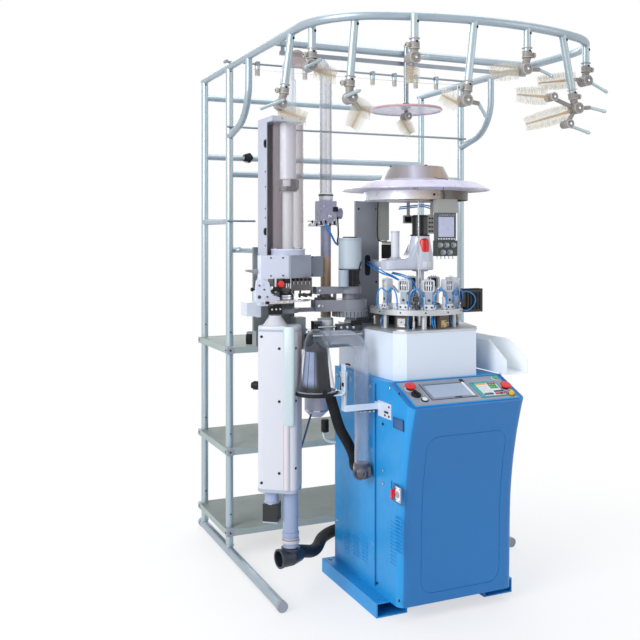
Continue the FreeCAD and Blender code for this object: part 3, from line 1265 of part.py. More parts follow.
def toe_motor():
    low = BOX_BOTTOM - TOE_NECK_H
    neck = upright(TOE_NECK_R, TOE_MOTOR_SHIFT, 0.0, low, BOX_BOTTOM)
    motor = box(TOE_MOTOR_SHIFT - TOE_MOTOR_HALF, TOE_MOTOR_SHIFT + TOE_MOTOR_HALF, -TOE_MOTOR_HALF,
                TOE_MOTOR_HALF, low - TOE_MOTOR_H, low)
    return toe_place(join(neck, motor))


def outlet_direction():
    first = V(*OUTLET_ROUTE[0])
    return (first - V(PIPE_X, PIPE_Y, ELBOW_Z)).normalize()


def outlet_pipe():
    """Drain pipe under the toe unit: two collars, and at its foot an elbow with an open horn."""
    bottom = V(PIPE_X, PIPE_Y, ELBOW_Z)
    way = outlet_direction()
    stem = upright_pipe(PIPE_R, PIPE_WALL, PIPE_X, PIPE_Y, ELBOW_Z, BOX_BOTTOM + PIPE_R)
    ball = Part.makeSphere(ELBOW_R, bottom)
    mouth = rod(ELBOW_R, bottom, bottom + way * HORN_LENGTH)
    horn_end = bottom + V(HORN_WAY[0], HORN_WAY[1], 0) * HORN_LENGTH
    horn = rod(ELBOW_R, bottom, horn_end)
    collars = [upright(PIPE_R + PIPE_WALL, PIPE_X, PIPE_Y, ELBOW_Z + rise, ELBOW_Z + rise + COLLAR_H)
               for rise in COLLAR_RISES]
    body = join(stem, ball, mouth, horn, *collars)
    body = body.cut(upright(PIPE_R - PIPE_WALL, PIPE_X, PIPE_Y, ELBOW_Z, BOX_BOTTOM + PIPE_R))
    body = body.cut(rod(ELBOW_R - PIPE_WALL, bottom + (horn_end - bottom) * 0.4, horn_end))
    return body.cut(rod(HOSE_R, bottom, bottom + way * HORN_LENGTH))


def outlet_hose():
    points = [V(PIPE_X, PIPE_Y, ELBOW_Z) + outlet_direction() * PIPE_R]
    points += [V(*spot) for spot in OUTLET_ROUTE]
    points.append(V(OUTLET_END_X, CAB_REAR_Y - SHEET, OUTLET_ROUTE[-1][2]))
    return bent_pipe(points, easy_radii(points), HOSE_R, HOSE_WALL)


def sewing_head():
    """White casing with its grey switch boxes, gearbox and side bracket."""
    high = V(0, 0, HEAD_CASE_TOP - HEAD_Z)
    casing = plate([V(x, y, HEAD_Z) for x, y in CASING_PLAN], high)
    switch_box = plate([V(x, y, HEAD_Z) for x, y in SWITCH_PLAN], high)
    x0, x1, y0, y1 = REAR_BOX
    rear_box = box(x0, x1, y0, y1, HEAD_Z, HEAD_CASE_TOP - SHEET * 2)
    gearbox = box(GEARBOX[0], GEARBOX[1], GEARBOX[2], GEARBOX[3], GEARBOX[4], HEAD_Z)
    gear_hub = upright(GEAR_HUB_R, HEAD_X, HEAD_Y, GEARBOX[4], HEAD_Z)
    flange = upright(TUBE_R + FLANGE_RIM, TUBE_X, TUBE_Y, HEAD_CASE_TOP, FLANGE_TOP)
    x0, x1, y0, y1, z0 = HOOK_BLOCK
    hook = box(x0, x1, y0, y1, z0, HEAD_Z)
    plates = [box(*HOOK_PLATE), box(*FAR_BOX)]
    bore = upright(LINK_SHAFT_R + RUNNING, HEAD_X, HEAD_Y, GEARBOX[4], LINK_SHAFT_TOP + SHEET)
    sweep = upright(LINK_R + SHEET / 2, HEAD_X, HEAD_Y, LINK_Z - SHEET / 2, LINK_Z + LINK_THICK + SHEET / 2)
    return join(casing, switch_box, rear_box, gearbox, gear_hub, flange, hook, *plates).cut(bore).cut(sweep)


def linking_dial():
    dial = upright_pipe(LINK_R, LINK_R - LINK_BORE_R, HEAD_X, HEAD_Y, LINK_Z, LINK_Z + LINK_THICK)
    hub = upright(LINK_BORE_R + SHEET, HEAD_X, HEAD_Y, LINK_Z + LINK_THICK, LINK_Z + LINK_THICK * 2)
    shaft = upright(LINK_SHAFT_R, HEAD_X, HEAD_Y, LINK_Z + LINK_THICK, LINK_SHAFT_TOP)
    return join(dial, hub, shaft)


def column_channel():
    """Folded white channel behind the clear tube, with its cap plate."""
    x0, x1 = CHANNEL_X
    y0, y1 = CHANNEL_Y
    back = box(x0, x1, y1 - SHEET, y1, HEAD_CASE_TOP, CHANNEL_TOP)
    left = box(x0, x0 + SHEET, y1 - 100.0, y1, HEAD_CASE_TOP, CHANNEL_TOP)
    cap = box(x0, x1, y0, y1, CHANNEL_TOP - CHANNEL_CAP, CHANNEL_TOP)
    return join(back, left, cap).cut(upright(DUCT_R, TUBE_X, TUBE_Y, CHANNEL_TOP - CHANNEL_CAP / 2, CHANNEL_TOP))


def clear_ducts():
    up = V(TUBE_X, TUBE_Y, CHANNEL_TOP - CHANNEL_CAP / 2)
    points = [up, V(TUBE_X, TUBE_Y, DUCT_TOP), V(WASTE_X, WASTE_Y, DUCT_TOP), V(WASTE_X, WASTE_Y, VALVE_Z[1])]
    waste = bent_pipe(points, [DUCT_BEND_R, DUCT_BEND_R], DUCT_R, TUBE_WALL)
    riser = upright_pipe(RISER_R, RISER_R - DUCT_R + TUBE_WALL, TUBE_X, TUBE_Y, CHANNEL_TOP, RISER_TOP)
    side = V(JAR_X + SUCTION_START, JAR_Y, SUCTION_Z)
    run = [side, V(SUCTION_X, JAR_Y, SUCTION_Z), V(SUCTION_X, JAR_Y, SUCTION_BOTTOM)]
    suction = bent_rod(run, [SUCTION_BEND_R], SUCTION_R)
    foot = V(SUCTION_X, JAR_Y, SUCTION_BOTTOM)
    ball = Part.makeSphere(BALL_R, foot)
    elbow = rod(SPIGOT_R, foot, V(-CAB_X + SUCTION_R, PORT_DUCT_Y, PORT_Z))
    suction = join(suction, ball, elbow)
    suction = suction.cut(bent_rod(run, [SUCTION_BEND_R], SUCTION_R - TUBE_WALL))
    return [join(waste, riser), suction.cut(jar_solid(0.0)).cut(box(-CAB_X, 0.0, CAB_FRONT_Y, CAB_REAR_Y, 0.0, CAB_TOP))]


def valve_block():
    """Change-over valve with the beige waste duct below it."""
    z0, z1 = VALVE_Z
    body = box(WASTE_X - VALVE_HALF, WASTE_X + VALVE_HALF, WASTE_Y - VALVE_HALF, WASTE_Y + VALVE_HALF, z0, z1)
    knob = rod(PIPE_R * 0.8, V(WASTE_X + VALVE_HALF, WASTE_Y, (z0 + z1) / 2),
               V(WASTE_X + VALVE_HALF * 2, WASTE_Y, (z0 + z1) / 2))
    duct = upright_pipe(WASTE_R, TUBE_WALL, WASTE_X, WASTE_Y, CARRIER_TOP, z0)
    return join(body, knob, duct)


def gripper_carriage():
    """Fixed guide tube of the upper gripper, with the star ring and the collar at its lower end."""
    guide = upright_pipe(GUIDE_R, TUBE_WALL, TUBE_X, TUBE_Y, GUIDE_BOTTOM, CHANNEL_TOP - CHANNEL_CAP)
    star = upright(STAR_R, STAR_X, TUBE_Y, GUIDE_BOTTOM - STAR_H, GUIDE_BOTTOM)
    for index in range(8):
        angle = math.radians(45 * index)
        notch_x = STAR_X + STAR_R * math.cos(angle)
        notch_y = TUBE_Y + STAR_R * math.sin(angle)
        star = star.cut(upright(STAR_R / 5, notch_x, notch_y, GUIDE_BOTTOM - STAR_H, GUIDE_BOTTOM))
    low = GUIDE_BOTTOM - COLLAR_DROP - GUIDE_COLLAR_H
    collar = upright(GUIDE_COLLAR_R, TUBE_X, TUBE_Y, low, low + GUIDE_COLLAR_H)
    bore = upright(INNER_R + RUNNING, TUBE_X, TUBE_Y, low, GUIDE_BOTTOM)
    return join(guide, star, collar).cut(bore)


# ---- suction filter -------------------------------------------------------------------------------------------------------
def jar_solid(inset):
    """Bell shape of the jar, drawn in by an inset."""
    low = JAR_BASE_Z + JAR_BASE_H
    bell = Part.BSplineCurve()
    bell.interpolate([V(radius - inset, 0, low + rise) for radius, rise in JAR_PROFILE])
    rim = bell.EndPoint
    crown = V(0, 0, low + JAR_H - inset)
    shoulder = V(rim.x * 0.6, 0, crown.z)
    corners = [shoulder, crown, V(0, 0, low), bell.StartPoint]
    edges = [bell.toShape(), Part.makeLine(rim, shoulder)]
    edges += [Part.makeLine(a, b) for a, b in zip(corners[:-1], corners[1:])]
    face = Part.Face(Part.Wire(edges))
    return face.revolve(V(0, 0, 0), Z_AXIS, 360.0).translate(V(JAR_X, JAR_Y, 0))


def filter_jar():
    port = rod(SUCTION_R - TUBE_WALL, V(JAR_X, JAR_Y, SUCTION_Z), V(JAR_X + JAR_BASE_R, JAR_Y, SUCTION_Z))
    return jar_solid(0.0).cut(jar_solid(JAR_WALL)).cut(port)


def filter_base():
    """Black base plate with the dark filter sleeve that stands in the jar."""
    low = JAR_BASE_Z + JAR_BASE_H
    base = upright(JAR_BASE_R, JAR_X, JAR_Y, JAR_BASE_Z, low)
    sleeve = Part.makeCone(SLEEVE_R, SLEEVE_TOP_R, SLEEVE_TOP - low, V(JAR_X, JAR_Y, low))
    return join(base, sleeve)


def suction_hose():
    points = [V(SUCTION_HOSE_X, JAR_Y, JAR_BASE_Z)]
    points += [V(*spot) for spot in SUCTION_ROUTE]
    points.append(V(-CAB_X, PORT_HOSE_Y, PORT_Z))
    return bent_pipe(points, easy_radii(points), SUCTION_HOSE_R, HOSE_WALL)


def side_bracket():
    face_x = -CAB_X
    y0, y1 = BRACKET_Y
    foot_y0, foot_y1, foot_z0, foot_z1 = BRACKET_FOOT
    foot = box(face_x - SHEET, face_x, foot_y0, foot_y1, foot_z0, foot_z1)
    bar = box(BRACKET_X, face_x - SHEET, y0, y1, BRACKET_Z, BRACKET_Z + SHEET)
    lip = box(BRACKET_X, face_x - SHEET, y0, y0 + SHEET, BRACKET_Z, BRACKET_Z + 22.0)
    post = box(BRACKET_X, BRACKET_X + SHEET, y0, y1, BRACKET_Z, BRACKET_TOP)
    grip = box(JAR_X + JAR_BASE_R, BRACKET_X, y0, y1 + 25.0, JAR_BASE_Z, JAR_BASE_Z + JAR_BASE_H)
    arm = box(JAR_X, BRACKET_X, y0, y0 + SHEET * 2, JAR_BASE_Z, JAR_BASE_Z + JAR_BASE_H)
    arm = arm.cut(upright(JAR_BASE_R, JAR_X, JAR_Y, JAR_BASE_Z, JAR_BASE_Z + JAR_BASE_H))
    return join(foot, bar, lip, post, grip, arm)


# ---- chute tray ------------------------------------------------------------------------------------------------------------
def chute_tray():
    x0, x1 = TRAY_X
    wall = [V(x0, TRAY_REAR_Y, TRAY_FLOOR_Z), V(x0, TRAY_FRONT_Y, TRAY_FLOOR_Z), V(x0, TRAY_FRONT_Y, TRAY_LIP_Z),
            V(x0, TRAY_SLOPE_Y, TRAY_TOP_Z), V(x0, TRAY_REAR_Y, TRAY_TOP_Z)]
    left = plate(wall, V(SHEET, 0, 0))
    right = left.copy().translate(V(x1 - x0 - SHEET, 0, 0))
    floor = box(x0, x1, TRAY_FRONT_Y, TRAY_REAR_Y, TRAY_FLOOR_Z - SHEET, TRAY_FLOOR_Z)
    back = box(x0, x1, TRAY_REAR_Y - SHEET, TRAY_REAR_Y, TRAY_FLOOR_Z, TRAY_TOP_Z)
    strut_x = (x0 + x1) / 2
    strut = upright(TRAY_STRUT_R, strut_x, TRAY_STRUT_Y, TRAY_STRUT_Z, TRAY_FLOOR_Z - SHEET)
    foot = rod(TRAY_STRUT_R, V(CAB_X, TRAY_STRUT_Y, TRAY_STRUT_Z), V(strut_x, TRAY_STRUT_Y, TRAY_STRUT_Z))
    elbow = Part.makeSphere(TRAY_STRUT_R, V(strut_x, TRAY_STRUT_Y, TRAY_STRUT_Z))
    return join(left, right, floor, back, strut, foot, elbow)


# ---- all nodes --------------------------------------------------------------------------------------------------------------
def build_nodes():
    ring = ring_tube(RING_R)
    brushes = group(yarn_brushes())
    nodes = {
        "creel_posts": group(creel_posts(ring)),
        "creel_rails": group(creel_rails(ring)),
        "creel_ring": ring,
        "creel_fittings": group(creel_fittings()),
        "shelves": group([shelf(top) for top in SHELF_TOPS]),
        "guide_rods": group(guide_rods()),
        "guide_disc": guide_disc(),
        "hanger_tubes": group(hanger_tubes(ring)),
        "brush_clamps": group(brush_clamps(brushes)),
        "yarn_brushes": brushes,
        "base_rails": group([base_rail(-1), base_rail(1)]),
        "cabinet_body": cabinet_body(),
        "front_cover": front_cover(),
        "side_covers": group([side_cover(-1), side_cover(1)]),
        "control_panel": control_panel(),
        "display_screen": display_screen(),
        "keypad": keypad(),
        "estop_left": estop(ESTOP_LEFT),
        "estop_right": estop(ESTOP_RIGHT),
        "selector_knob": turn_knob(SELECTOR),
        "speed_knob": turn_knob(SPEED_KNOB),
        "start_button": push_button(START_BUTTON),
        "stop_button": push_button(STOP_BUTTON),
        "main_switch_lever": main_switch_lever(),
        "drive_motor": drive_motor(),
        "motor_pulley": motor_pulley(),
        "drive_belt": drive_belt(),
        "enclosure_skirt": enclosure_skirt(),
        "chute_tray": chute_tray(),
        "side_bracket": side_bracket(),
        "machine_bed": machine_bed(),
        "actuator_blocks": group(actuator_blocks()),
        "air_tubes": group(air_tubes()),
        "feeder_blocks": group([feeder_block(degrees) for degrees in FEEDER_DEGS]),
        "needle_cylinder": needle_cylinder(),
        "needle_dial": needle_dial(),
        "dial_head": dial_head(),
        "dial_motor": group(dial_motor()),
        "slotted_column": slotted_column(),
        "band_ring": band_ring(),
        "top_dish": top_dish(),
        "tension_unit": tension_unit(),
        "transfer_arm": transfer_arm(),
        "arm_motor": arm_motor(),
        "toe_carrier": toe_carrier(),
        "toe_box": toe_box(),
        "toe_motor": toe_motor(),
        "outlet_pipe": outlet_pipe(),
        "outlet_hose": outlet_hose(),
        "sewing_head": sewing_head(),
        "linking_dial": linking_dial(),
        "column_channel": column_channel(),
        "column_tube": upright_pipe(TUBE_R, TUBE_WALL, TUBE_X, TUBE_Y, FLANGE_TOP, CHANNEL_TOP - CHANNEL_CAP),
        "turning_tube": upright_pipe(INNER_R, TUBE_WALL, TUBE_X, TUBE_Y, FLANGE_TOP, INNER_TOP),
        "gripper_carriage": gripper_carriage(),
        "clear_ducts": group(clear_ducts()),
        "valve_block": valve_block(),
        "filter_jar": filter_jar(),
        "filter_base": filter_base(),
        "suction_hose": suction_hose(),
    }
    return nodes


def main():
    os.makedirs("parts", exist_ok=True)
    for name, shape in build_nodes().items():
        shape.exportStep(os.path.join("parts", name + ".step"))
        print(name, len(shape.Solids), shape.isValid(), round(shape.Volume / 1000.0, 1))


main()
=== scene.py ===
"""Looks of the sock knitting machine: surfaces, small parts, floor, light and camera.
The frame is the machine's own: origin on the floor under the needle cylinder's axis, +X right,
+Y to the rear, +Z up. Small parts are given in millimetres; surfaces, light and camera in metres."""

import math
import random
from itertools import product

import bmesh
import bpy
from mathutils import Matrix, Vector


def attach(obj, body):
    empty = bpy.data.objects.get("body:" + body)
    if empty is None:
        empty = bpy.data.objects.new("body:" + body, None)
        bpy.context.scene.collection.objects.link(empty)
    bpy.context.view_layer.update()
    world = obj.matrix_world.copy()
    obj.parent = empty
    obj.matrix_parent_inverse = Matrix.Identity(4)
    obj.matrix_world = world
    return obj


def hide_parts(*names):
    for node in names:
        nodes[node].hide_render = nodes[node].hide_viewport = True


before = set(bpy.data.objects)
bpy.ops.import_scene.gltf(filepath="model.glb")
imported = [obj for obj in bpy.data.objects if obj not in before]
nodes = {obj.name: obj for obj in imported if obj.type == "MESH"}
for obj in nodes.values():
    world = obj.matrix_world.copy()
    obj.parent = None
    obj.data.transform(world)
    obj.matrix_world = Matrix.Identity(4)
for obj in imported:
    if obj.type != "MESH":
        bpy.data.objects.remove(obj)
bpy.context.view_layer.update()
random.seed(11)

X, Y, Z = Vector((1, 0, 0)), Vector((0, 1, 0)), Vector((0, 0, 1))


# ---- materials ----
def linear(colour):
    """A colour of 0 to 255 sRGB steps as linear light, with alpha 1."""
    out = []
    for step in colour:
        c = step / 255.0
        out.append(c / 12.92 if c <= 0.04045 else ((c + 0.055) / 1.055) ** 2.4)
    return (*out, 1.0)


SURFACES = {}


class Surface:
    """A Principled material whose colour, roughness and bump come from nodes, kept under its name."""

    def __init__(self, name, roughness=0.4, metallic=0.0, **constants):
        self.mat = bpy.data.materials.new(name)
        self.mat.use_nodes = True
        SURFACES[name] = self
        self.tree = self.mat.node_tree
        self.tree.nodes.clear()
        self.out = self.tree.nodes.new("ShaderNodeOutputMaterial")
        self.shader = self.tree.nodes.new("ShaderNodeBsdfPrincipled")
        self.link(self.shader.outputs["BSDF"], self.out.inputs["Surface"])
        self.shader.inputs["Roughness"].default_value = roughness
        self.shader.inputs["Metallic"].default_value = metallic
        for socket, value in constants.items():
            self.shader.inputs[socket.replace("_", " ")].default_value = value
        self.coords = self.tree.nodes.new("ShaderNodeTexCoord")
        self.bump_chain = None

    def link(self, a, b):
        self.tree.links.new(a, b)

    def node(self, kind, **settings):
        made = self.tree.nodes.new(kind)
        for key, value in settings.items():
            setattr(made, key, value)
        return made

    def noise(self, scale, detail=3.0, stretch=(1, 1, 1), rough=0.5):
        mapping = self.node("ShaderNodeMapping")
        mapping.inputs["Scale"].default_value = stretch
        self.link(self.coords.outputs["Object"], mapping.inputs["Vector"])
        tex = self.node("ShaderNodeTexNoise")
        tex.inputs["Scale"].default_value = scale
        tex.inputs["Detail"].default_value = detail
        tex.inputs["Roughness"].default_value = rough
        self.link(mapping.outputs["Vector"], tex.inputs["Vector"])
        return tex.outputs["Fac"]

    def ramp(self, fac, stops):
        ramp = self.node("ShaderNodeValToRGB")
        elements = ramp.color_ramp.elements
        while len(elements) < len(stops):
            elements.new(0.5)
        for element, (place, colour) in zip(elements, stops):
            element.position = place
            element.color = colour
        self.link(fac, ramp.inputs["Fac"])
        return ramp.outputs["Color"]

    def mix(self, fac, a, b):
        mix = self.node("ShaderNodeMix", data_type="RGBA")
        self.link(fac, mix.inputs["Factor"])
        for socket, value in ((mix.inputs["A"], a), (mix.inputs["B"], b)):
            if isinstance(value, tuple):
                socket.default_value = value
            else:
                self.link(value, socket)
        return mix.outputs["Result"]

    def math(self, operation, a, b=0.0, c=None):
        made = self.node("ShaderNodeMath", operation=operation)
        values = (a, b) if c is None else (a, b, c)
        for socket, value in zip(made.inputs, values):
            if isinstance(value, (int, float)):
                socket.default_value = value
            else:
                self.link(value, socket)
        return made.outputs["Value"]

    def part(self, axis, coords="Object"):
        split = self.node("ShaderNodeSeparateXYZ")
        self.link(self.coords.outputs[coords], split.inputs["Vector"])
        return split.outputs[axis]

    def over(self, axis, level, soft=0.002, coords="Object"):
        """1 where a coordinate is above a level, 0 below it."""
        above = self.math("SUBTRACT", self.part(axis, coords), level)
        return self.clamped(self.math("DIVIDE", above, soft))

    def clamped(self, value):
        return self.math("SMOOTH_MIN", self.math("SMOOTH_MAX", value, 0.0), 1.0)

    def colour(self, source):
        self.link(source, self.shader.inputs["Base Color"])
        return self

    def tint(self, colour, spread=0.06, scale=6.0, stretch=(1, 1, 1)):
        """The colour, drifting a little lighter and darker over the surface."""
        base = linear(colour)
        dark = tuple(c * (1 - spread) for c in base[:3]) + (1.0,)
        light = tuple(min(1.0, c * (1 + spread)) for c in base[:3]) + (1.0,)
        return self.ramp(self.noise(scale, 4.0, stretch), [(0.3, dark), (0.5, base), (0.7, light)])

    def rough(self, low, high, scale=40.0, stretch=(1, 1, 1)):
        fac = self.noise(scale, 3.0, stretch)
        spread = self.node("ShaderNodeMapRange")
        spread.inputs["From Min"].default_value = 0.3
        spread.inputs["From Max"].default_value = 0.7
        spread.inputs["To Min"].default_value = low
        spread.inputs["To Max"].default_value = high
        self.link(fac, spread.inputs["Value"])
        self.link(spread.outputs["Result"], self.shader.inputs["Roughness"])
        return self

    def finish(self, low, high, scale, grain=900.0, strength=0.08, distance=0.0004):
        """Roughness between two values in patches, and a fine grain in relief."""
        self.rough(low, high, scale)
        return self.bump(self.noise(grain, 2.0), strength, distance)

    def bump(self, height, strength=0.1, distance=0.001):
        bump = self.node("ShaderNodeBump")
        bump.inputs["Strength"].default_value = strength
        bump.inputs["Distance"].default_value = distance
        self.link(height, bump.inputs["Height"])
        if self.bump_chain is not None:
            self.link(self.bump_chain, bump.inputs["Normal"])
        self.bump_chain = bump.outputs["Normal"]
        self.link(self.bump_chain, self.shader.inputs["Normal"])
        return self


def paint(name, colour, roughness=0.38, spread=0.04, peel=0.08, coat=0.25, dust=0.10):
    """Powder coat: faint orange peel, a slow drift in colour and a little dust."""
    s = Surface(name, roughness, Coat_Weight=coat, Coat_Roughness=0.18)
    base = linear(colour)
    body = s.tint(colour, spread, 2.2)
    grey = tuple(c * (1 - dust) + dust * 0.72 for c in base[:3]) + (1.0,)
    s.colour(s.mix(s.math("MULTIPLY", s.noise(5.0, 6.0), 0.5), body, grey))
    return s.finish(roughness - 0.06, roughness + 0.08, 26.0, 900.0, peel, 0.0004)


def metal(name, colour, roughness=0.28, spread=0.06, stretch=(1, 1, 1), scale=180.0, amount=0.05,
          metallic=1.0):
    """Drawn or turned metal: fine lines along the work, faint stains."""
    s = Surface(name, roughness, metallic)
    s.colour(s.tint(colour, spread, 9.0, stretch))
    s.rough(roughness - 0.07, roughness + 0.1, scale, stretch)
    s.bump(s.noise(scale * 6.0, 2.0, stretch), amount, 0.0003)
    return s


def plastic(name, colour, roughness=0.42, spread=0.05, grain=0.12, scale=1400.0, **constants):
    """Moulded plastic with a fine grain."""
    s = Surface(name, roughness, **constants)
    s.colour(s.tint(colour, spread, 12.0))
    return s.finish(roughness - 0.08, roughness + 0.1, 60.0, scale, grain, 0.0003)


def clear(name, colour, alpha=0.3, roughness=0.12, haze=0.06, edges=0.55, fall=1.0):
    """Thin clear plastic: mostly seen through, with streaks of haze and gloss."""
    s = Surface(name, roughness, IOR=1.49, Specular_IOR_Level=0.6)
    s.colour(s.tint(colour, 0.05, 7.0))
    s.rough(roughness - 0.05, roughness + 0.1, 30.0)
    s.bump(s.noise(60.0, 3.0), 0.08, 0.001)
    facing = s.node("ShaderNodeLayerWeight")
    facing.inputs["Blend"].default_value = 0.35
    streak = s.math("MULTIPLY", s.noise(9.0, 5.0, (3, 3, 0.5)), haze * 2)
    edge = s.math("MULTIPLY_ADD", s.math("POWER", facing.outputs["Facing"], fall), edges, alpha)
    s.link(s.math("MINIMUM", s.math("ADD", edge, streak), 0.96), s.shader.inputs["Alpha"])
    return s


paint("blue_paint", (24, 146, 214), 0.42, 0.04, coat=0.05, dust=0.02)
paint("white_paint", (220, 231, 245), 0.34, 0.02, dust=0.05)
metal("tube_steel", (172, 187, 194), 0.36, 0.05, (1, 1, 0.15), 60.0, 0.02, 0.6)
metal("ring_steel", (162, 176, 186), 0.36, 0.05, (1, 1, 1), 60.0, 0.02, 0.6)
metal("rod_steel", (136, 144, 154), 0.3, 0.06, (0.2, 1, 1), 60.0, 0.02, 0.7)
metal("bright_steel", (200, 204, 210), 0.18, 0.05, (1, 1, 1), 220.0)
metal("turned_steel", (190, 193, 198), 0.3, 0.06, (1, 1, 8), 160.0)
metal("cast_alloy", (186, 190, 195), 0.48, 0.06, (1, 1, 1), 90.0, 0.18, 0.75)
metal("dark_steel", (74, 76, 80), 0.38, 0.1, (1, 1, 1), 120.0, 0.1, 0.9)
plastic("black_plastic", (23, 24, 27), 0.5, 0.15, Specular_IOR_Level=0.25)
plastic("rubber", (27, 27, 30), 0.62, 0.15, 0.3, 700.0, Specular_IOR_Level=0.3)
plastic("white_plastic", (228, 231, 235), 0.35, 0.02)
plastic("grey_plastic", (150, 157, 165), 0.42, 0.04)
plastic("dark_grey_plastic", (84, 88, 94), 0.42, 0.06)
plastic("red_plastic", (214, 40, 38), 0.3, 0.05, 0.06)
plastic("green_plastic", (58, 170, 92), 0.32, 0.05, 0.06)
plastic("yellow_plastic", (222, 190, 52), 0.36, 0.05, 0.06)
plastic("blue_tube", (30, 92, 205), 0.28, 0.08, 0.04, Coat_Weight=0.4)
plastic("taupe_plastic", (144, 140, 138), 0.46, 0.06)
plastic("bristle", (202, 196, 182), 0.4, 0.06, 0.05, Subsurface_Weight=0.25)
clear("clear_plastic", (196, 204, 220), 0.07, 0.1, 0.035)
clear("clear_rim", (150, 158, 172), 0.45, 0.12, 0.04)
clear("smoke_plastic", (92, 92, 104), 0.6, 0.16, 0.08)
clear("jar_plastic", (186, 194, 212), 0.0, 0.08, 0.01, 0.8, 2.4)
clear("column_clear", (172, 162, 168), 0.1, 0.1, 0.03)
clear("disc_plastic", (222, 224, 236), 0.3)
plastic("filter_mesh", (52, 54, 62), 0.6, 0.1, 0.4, 500.0)
plastic("belt_rubber", (40, 40, 42), 0.6, 0.1, 0.3, 600.0)
plastic("screen_glass", (166, 180, 204), 0.12, 0.03, 0.02)
plastic("spine_tan", (206, 178, 140), 0.45, 0.06)
plastic("taupe_pale", (176, 171, 163), 0.44, 0.05)
plastic("disc_rim_plastic", (198, 158, 164), 0.34, 0.06, 0.05)
plastic("teal_plastic", (58, 160, 168), 0.36, 0.05, 0.06)
paint("panel_paint", (142, 150, 166), 0.42, 0.03, dust=0.04)
# chute tray: a lighter copy of the white paint, painted light to lift the tray out of its shade
paint("tray_white_painted_light", (244, 249, 254), 0.34, 0.02, dust=0.03)
clear("tube_clear", (150, 156, 172), 0.0, 0.1, 0.02, 0.75, 1.8)
clear("brown_clear", (176, 160, 156), 0.5, 0.16, 0.05)
plastic("bezel_grey", (128, 138, 158), 0.42, 0.04)
# darker blue of the lock recess and switch pocket: painted shade
paint("recess_blue_painted_shade", (18, 84, 144), 0.42, 0.05)
metal("brass", (176, 156, 116), 0.34, 0.08, (1, 1, 1), 160.0, 0.05, 0.5)


def cover_surface():
    """Front cover: faces turned to the left take the cabinet side's lighter blue as painted light, front
    faces a darker blue as painted shade.
    """
    s = Surface("cover_blue", 0.4, Coat_Weight=0.06, Coat_Roughness=0.18)
    flank, front = s.tint((24, 146, 214), 0.04, 2.2), s.tint((17, 112, 180), 0.04, 2.2)
    # lit and shaded copies of one blue, split by which way each face turns: painted light and shade
    s.colour(s.mix(s.over("X", -0.5, 0.1, "Normal"), flank, front))
    return s.finish(0.34, 0.48, 26.0, 900.0, 0.08, 0.0004)


def sleeve_surface():
    """Fine black mesh with a painted blue-grey reflection on its upper left."""
    s = Surface("sleeve_mesh", 0.5)
    right = s.over("X", -0.522, 0.012)
    # painted reflection: blue-grey on the left part of the sleeve, above z 0.868
    painted_sheen = s.math("MULTIPLY", s.math("SUBTRACT", 1.0, right), s.over("Z", 0.868, 0.02))
    s.colour(s.mix(painted_sheen, s.tint((18, 18, 21), 0.1, 30.0), s.tint((132, 146, 176), 0.12, 22.0)))
    return s.finish(0.5, 0.7, 60.0, 700.0, 0.3, 0.0004)


def shelf_surface():
    """Sage top; the folded edges painted paler as painted light, where they catch the light."""
    s = Surface("shelf_paint", 0.6, Specular_IOR_Level=0.15)
    top = s.tint((140, 148, 144), 0.03, 3.0)
    edge = s.tint((164, 176, 174), 0.04, 5.0)
    # faces that turn sideways get the paler colour: painted light
    s.colour(s.mix(s.over("Z", 0.5, 0.1, "Normal"), edge, top))
    return s.finish(0.55, 0.7, 22.0, 800.0, 0.06, 0.0004)


def two_tone(name, low, high, level, axis="Z", rough=0.4, coat=0.0):
    """A node with two finishes, parted at a level on one axis."""
    s = Surface(name, rough, Coat_Weight=coat)
    s.colour(s.mix(s.over(axis, level, 0.0008), s.tint(low, 0.05, 14.0), s.tint(high, 0.03, 14.0)))
    return s.finish(rough - 0.07, rough + 0.09, 50.0, 900.0, 0.08, 0.0003)


def channel_surface():
    """Folded channel: pale lilac outside, brown-grey inside as painted shade."""
    s = Surface("channel_paint", 0.36, Coat_Weight=0.15)
    behind_wall = s.over("X", -0.6338, 0.0005)
    under_top = s.math("SUBTRACT", 1.0, s.over("Z", 1.8925, 0.0005))
    # the channel's inside painted darker brown-grey: painted shade
    painted_inside_shade = s.math("MULTIPLY", behind_wall, under_top)
    s.colour(s.mix(painted_inside_shade, s.tint((172, 178, 194), 0.03, 5.0), s.tint((150, 143, 146), 0.05, 5.0)))
    return s.finish(0.3, 0.44, 26.0, 900.0, 0.06, 0.0004)


def carrier_surface():
    """Grey casting with the pale blower cup under it."""
    s = Surface("carrier_shell", 0.4, Coat_Weight=0.15)
    cup, casting = (186, 189, 208), (112, 121, 124)
    s.colour(s.mix(s.over("Z", 0.9995, 0.0005), s.tint(cup, 0.05, 5.0), s.tint(casting, 0.05, 5.0)))
    return s.finish(0.32, 0.48, 26.0, 700.0, 0.08, 0.0004)


def duct_surface():
    """Waste duct: beige-brown low down, bluish where the clear part begins."""
    s = Surface("duct_plastic", 0.26, Coat_Weight=0.3)
    brown, bluish = (196, 166, 138), (158, 160, 184)
    s.colour(s.mix(s.over("Z", 1.358, 0.006), s.tint(brown, 0.06, 8.0), s.tint(bluish, 0.05, 8.0)))
    return s.finish(0.2, 0.34, 30.0, 400.0, 0.05, 0.0004)


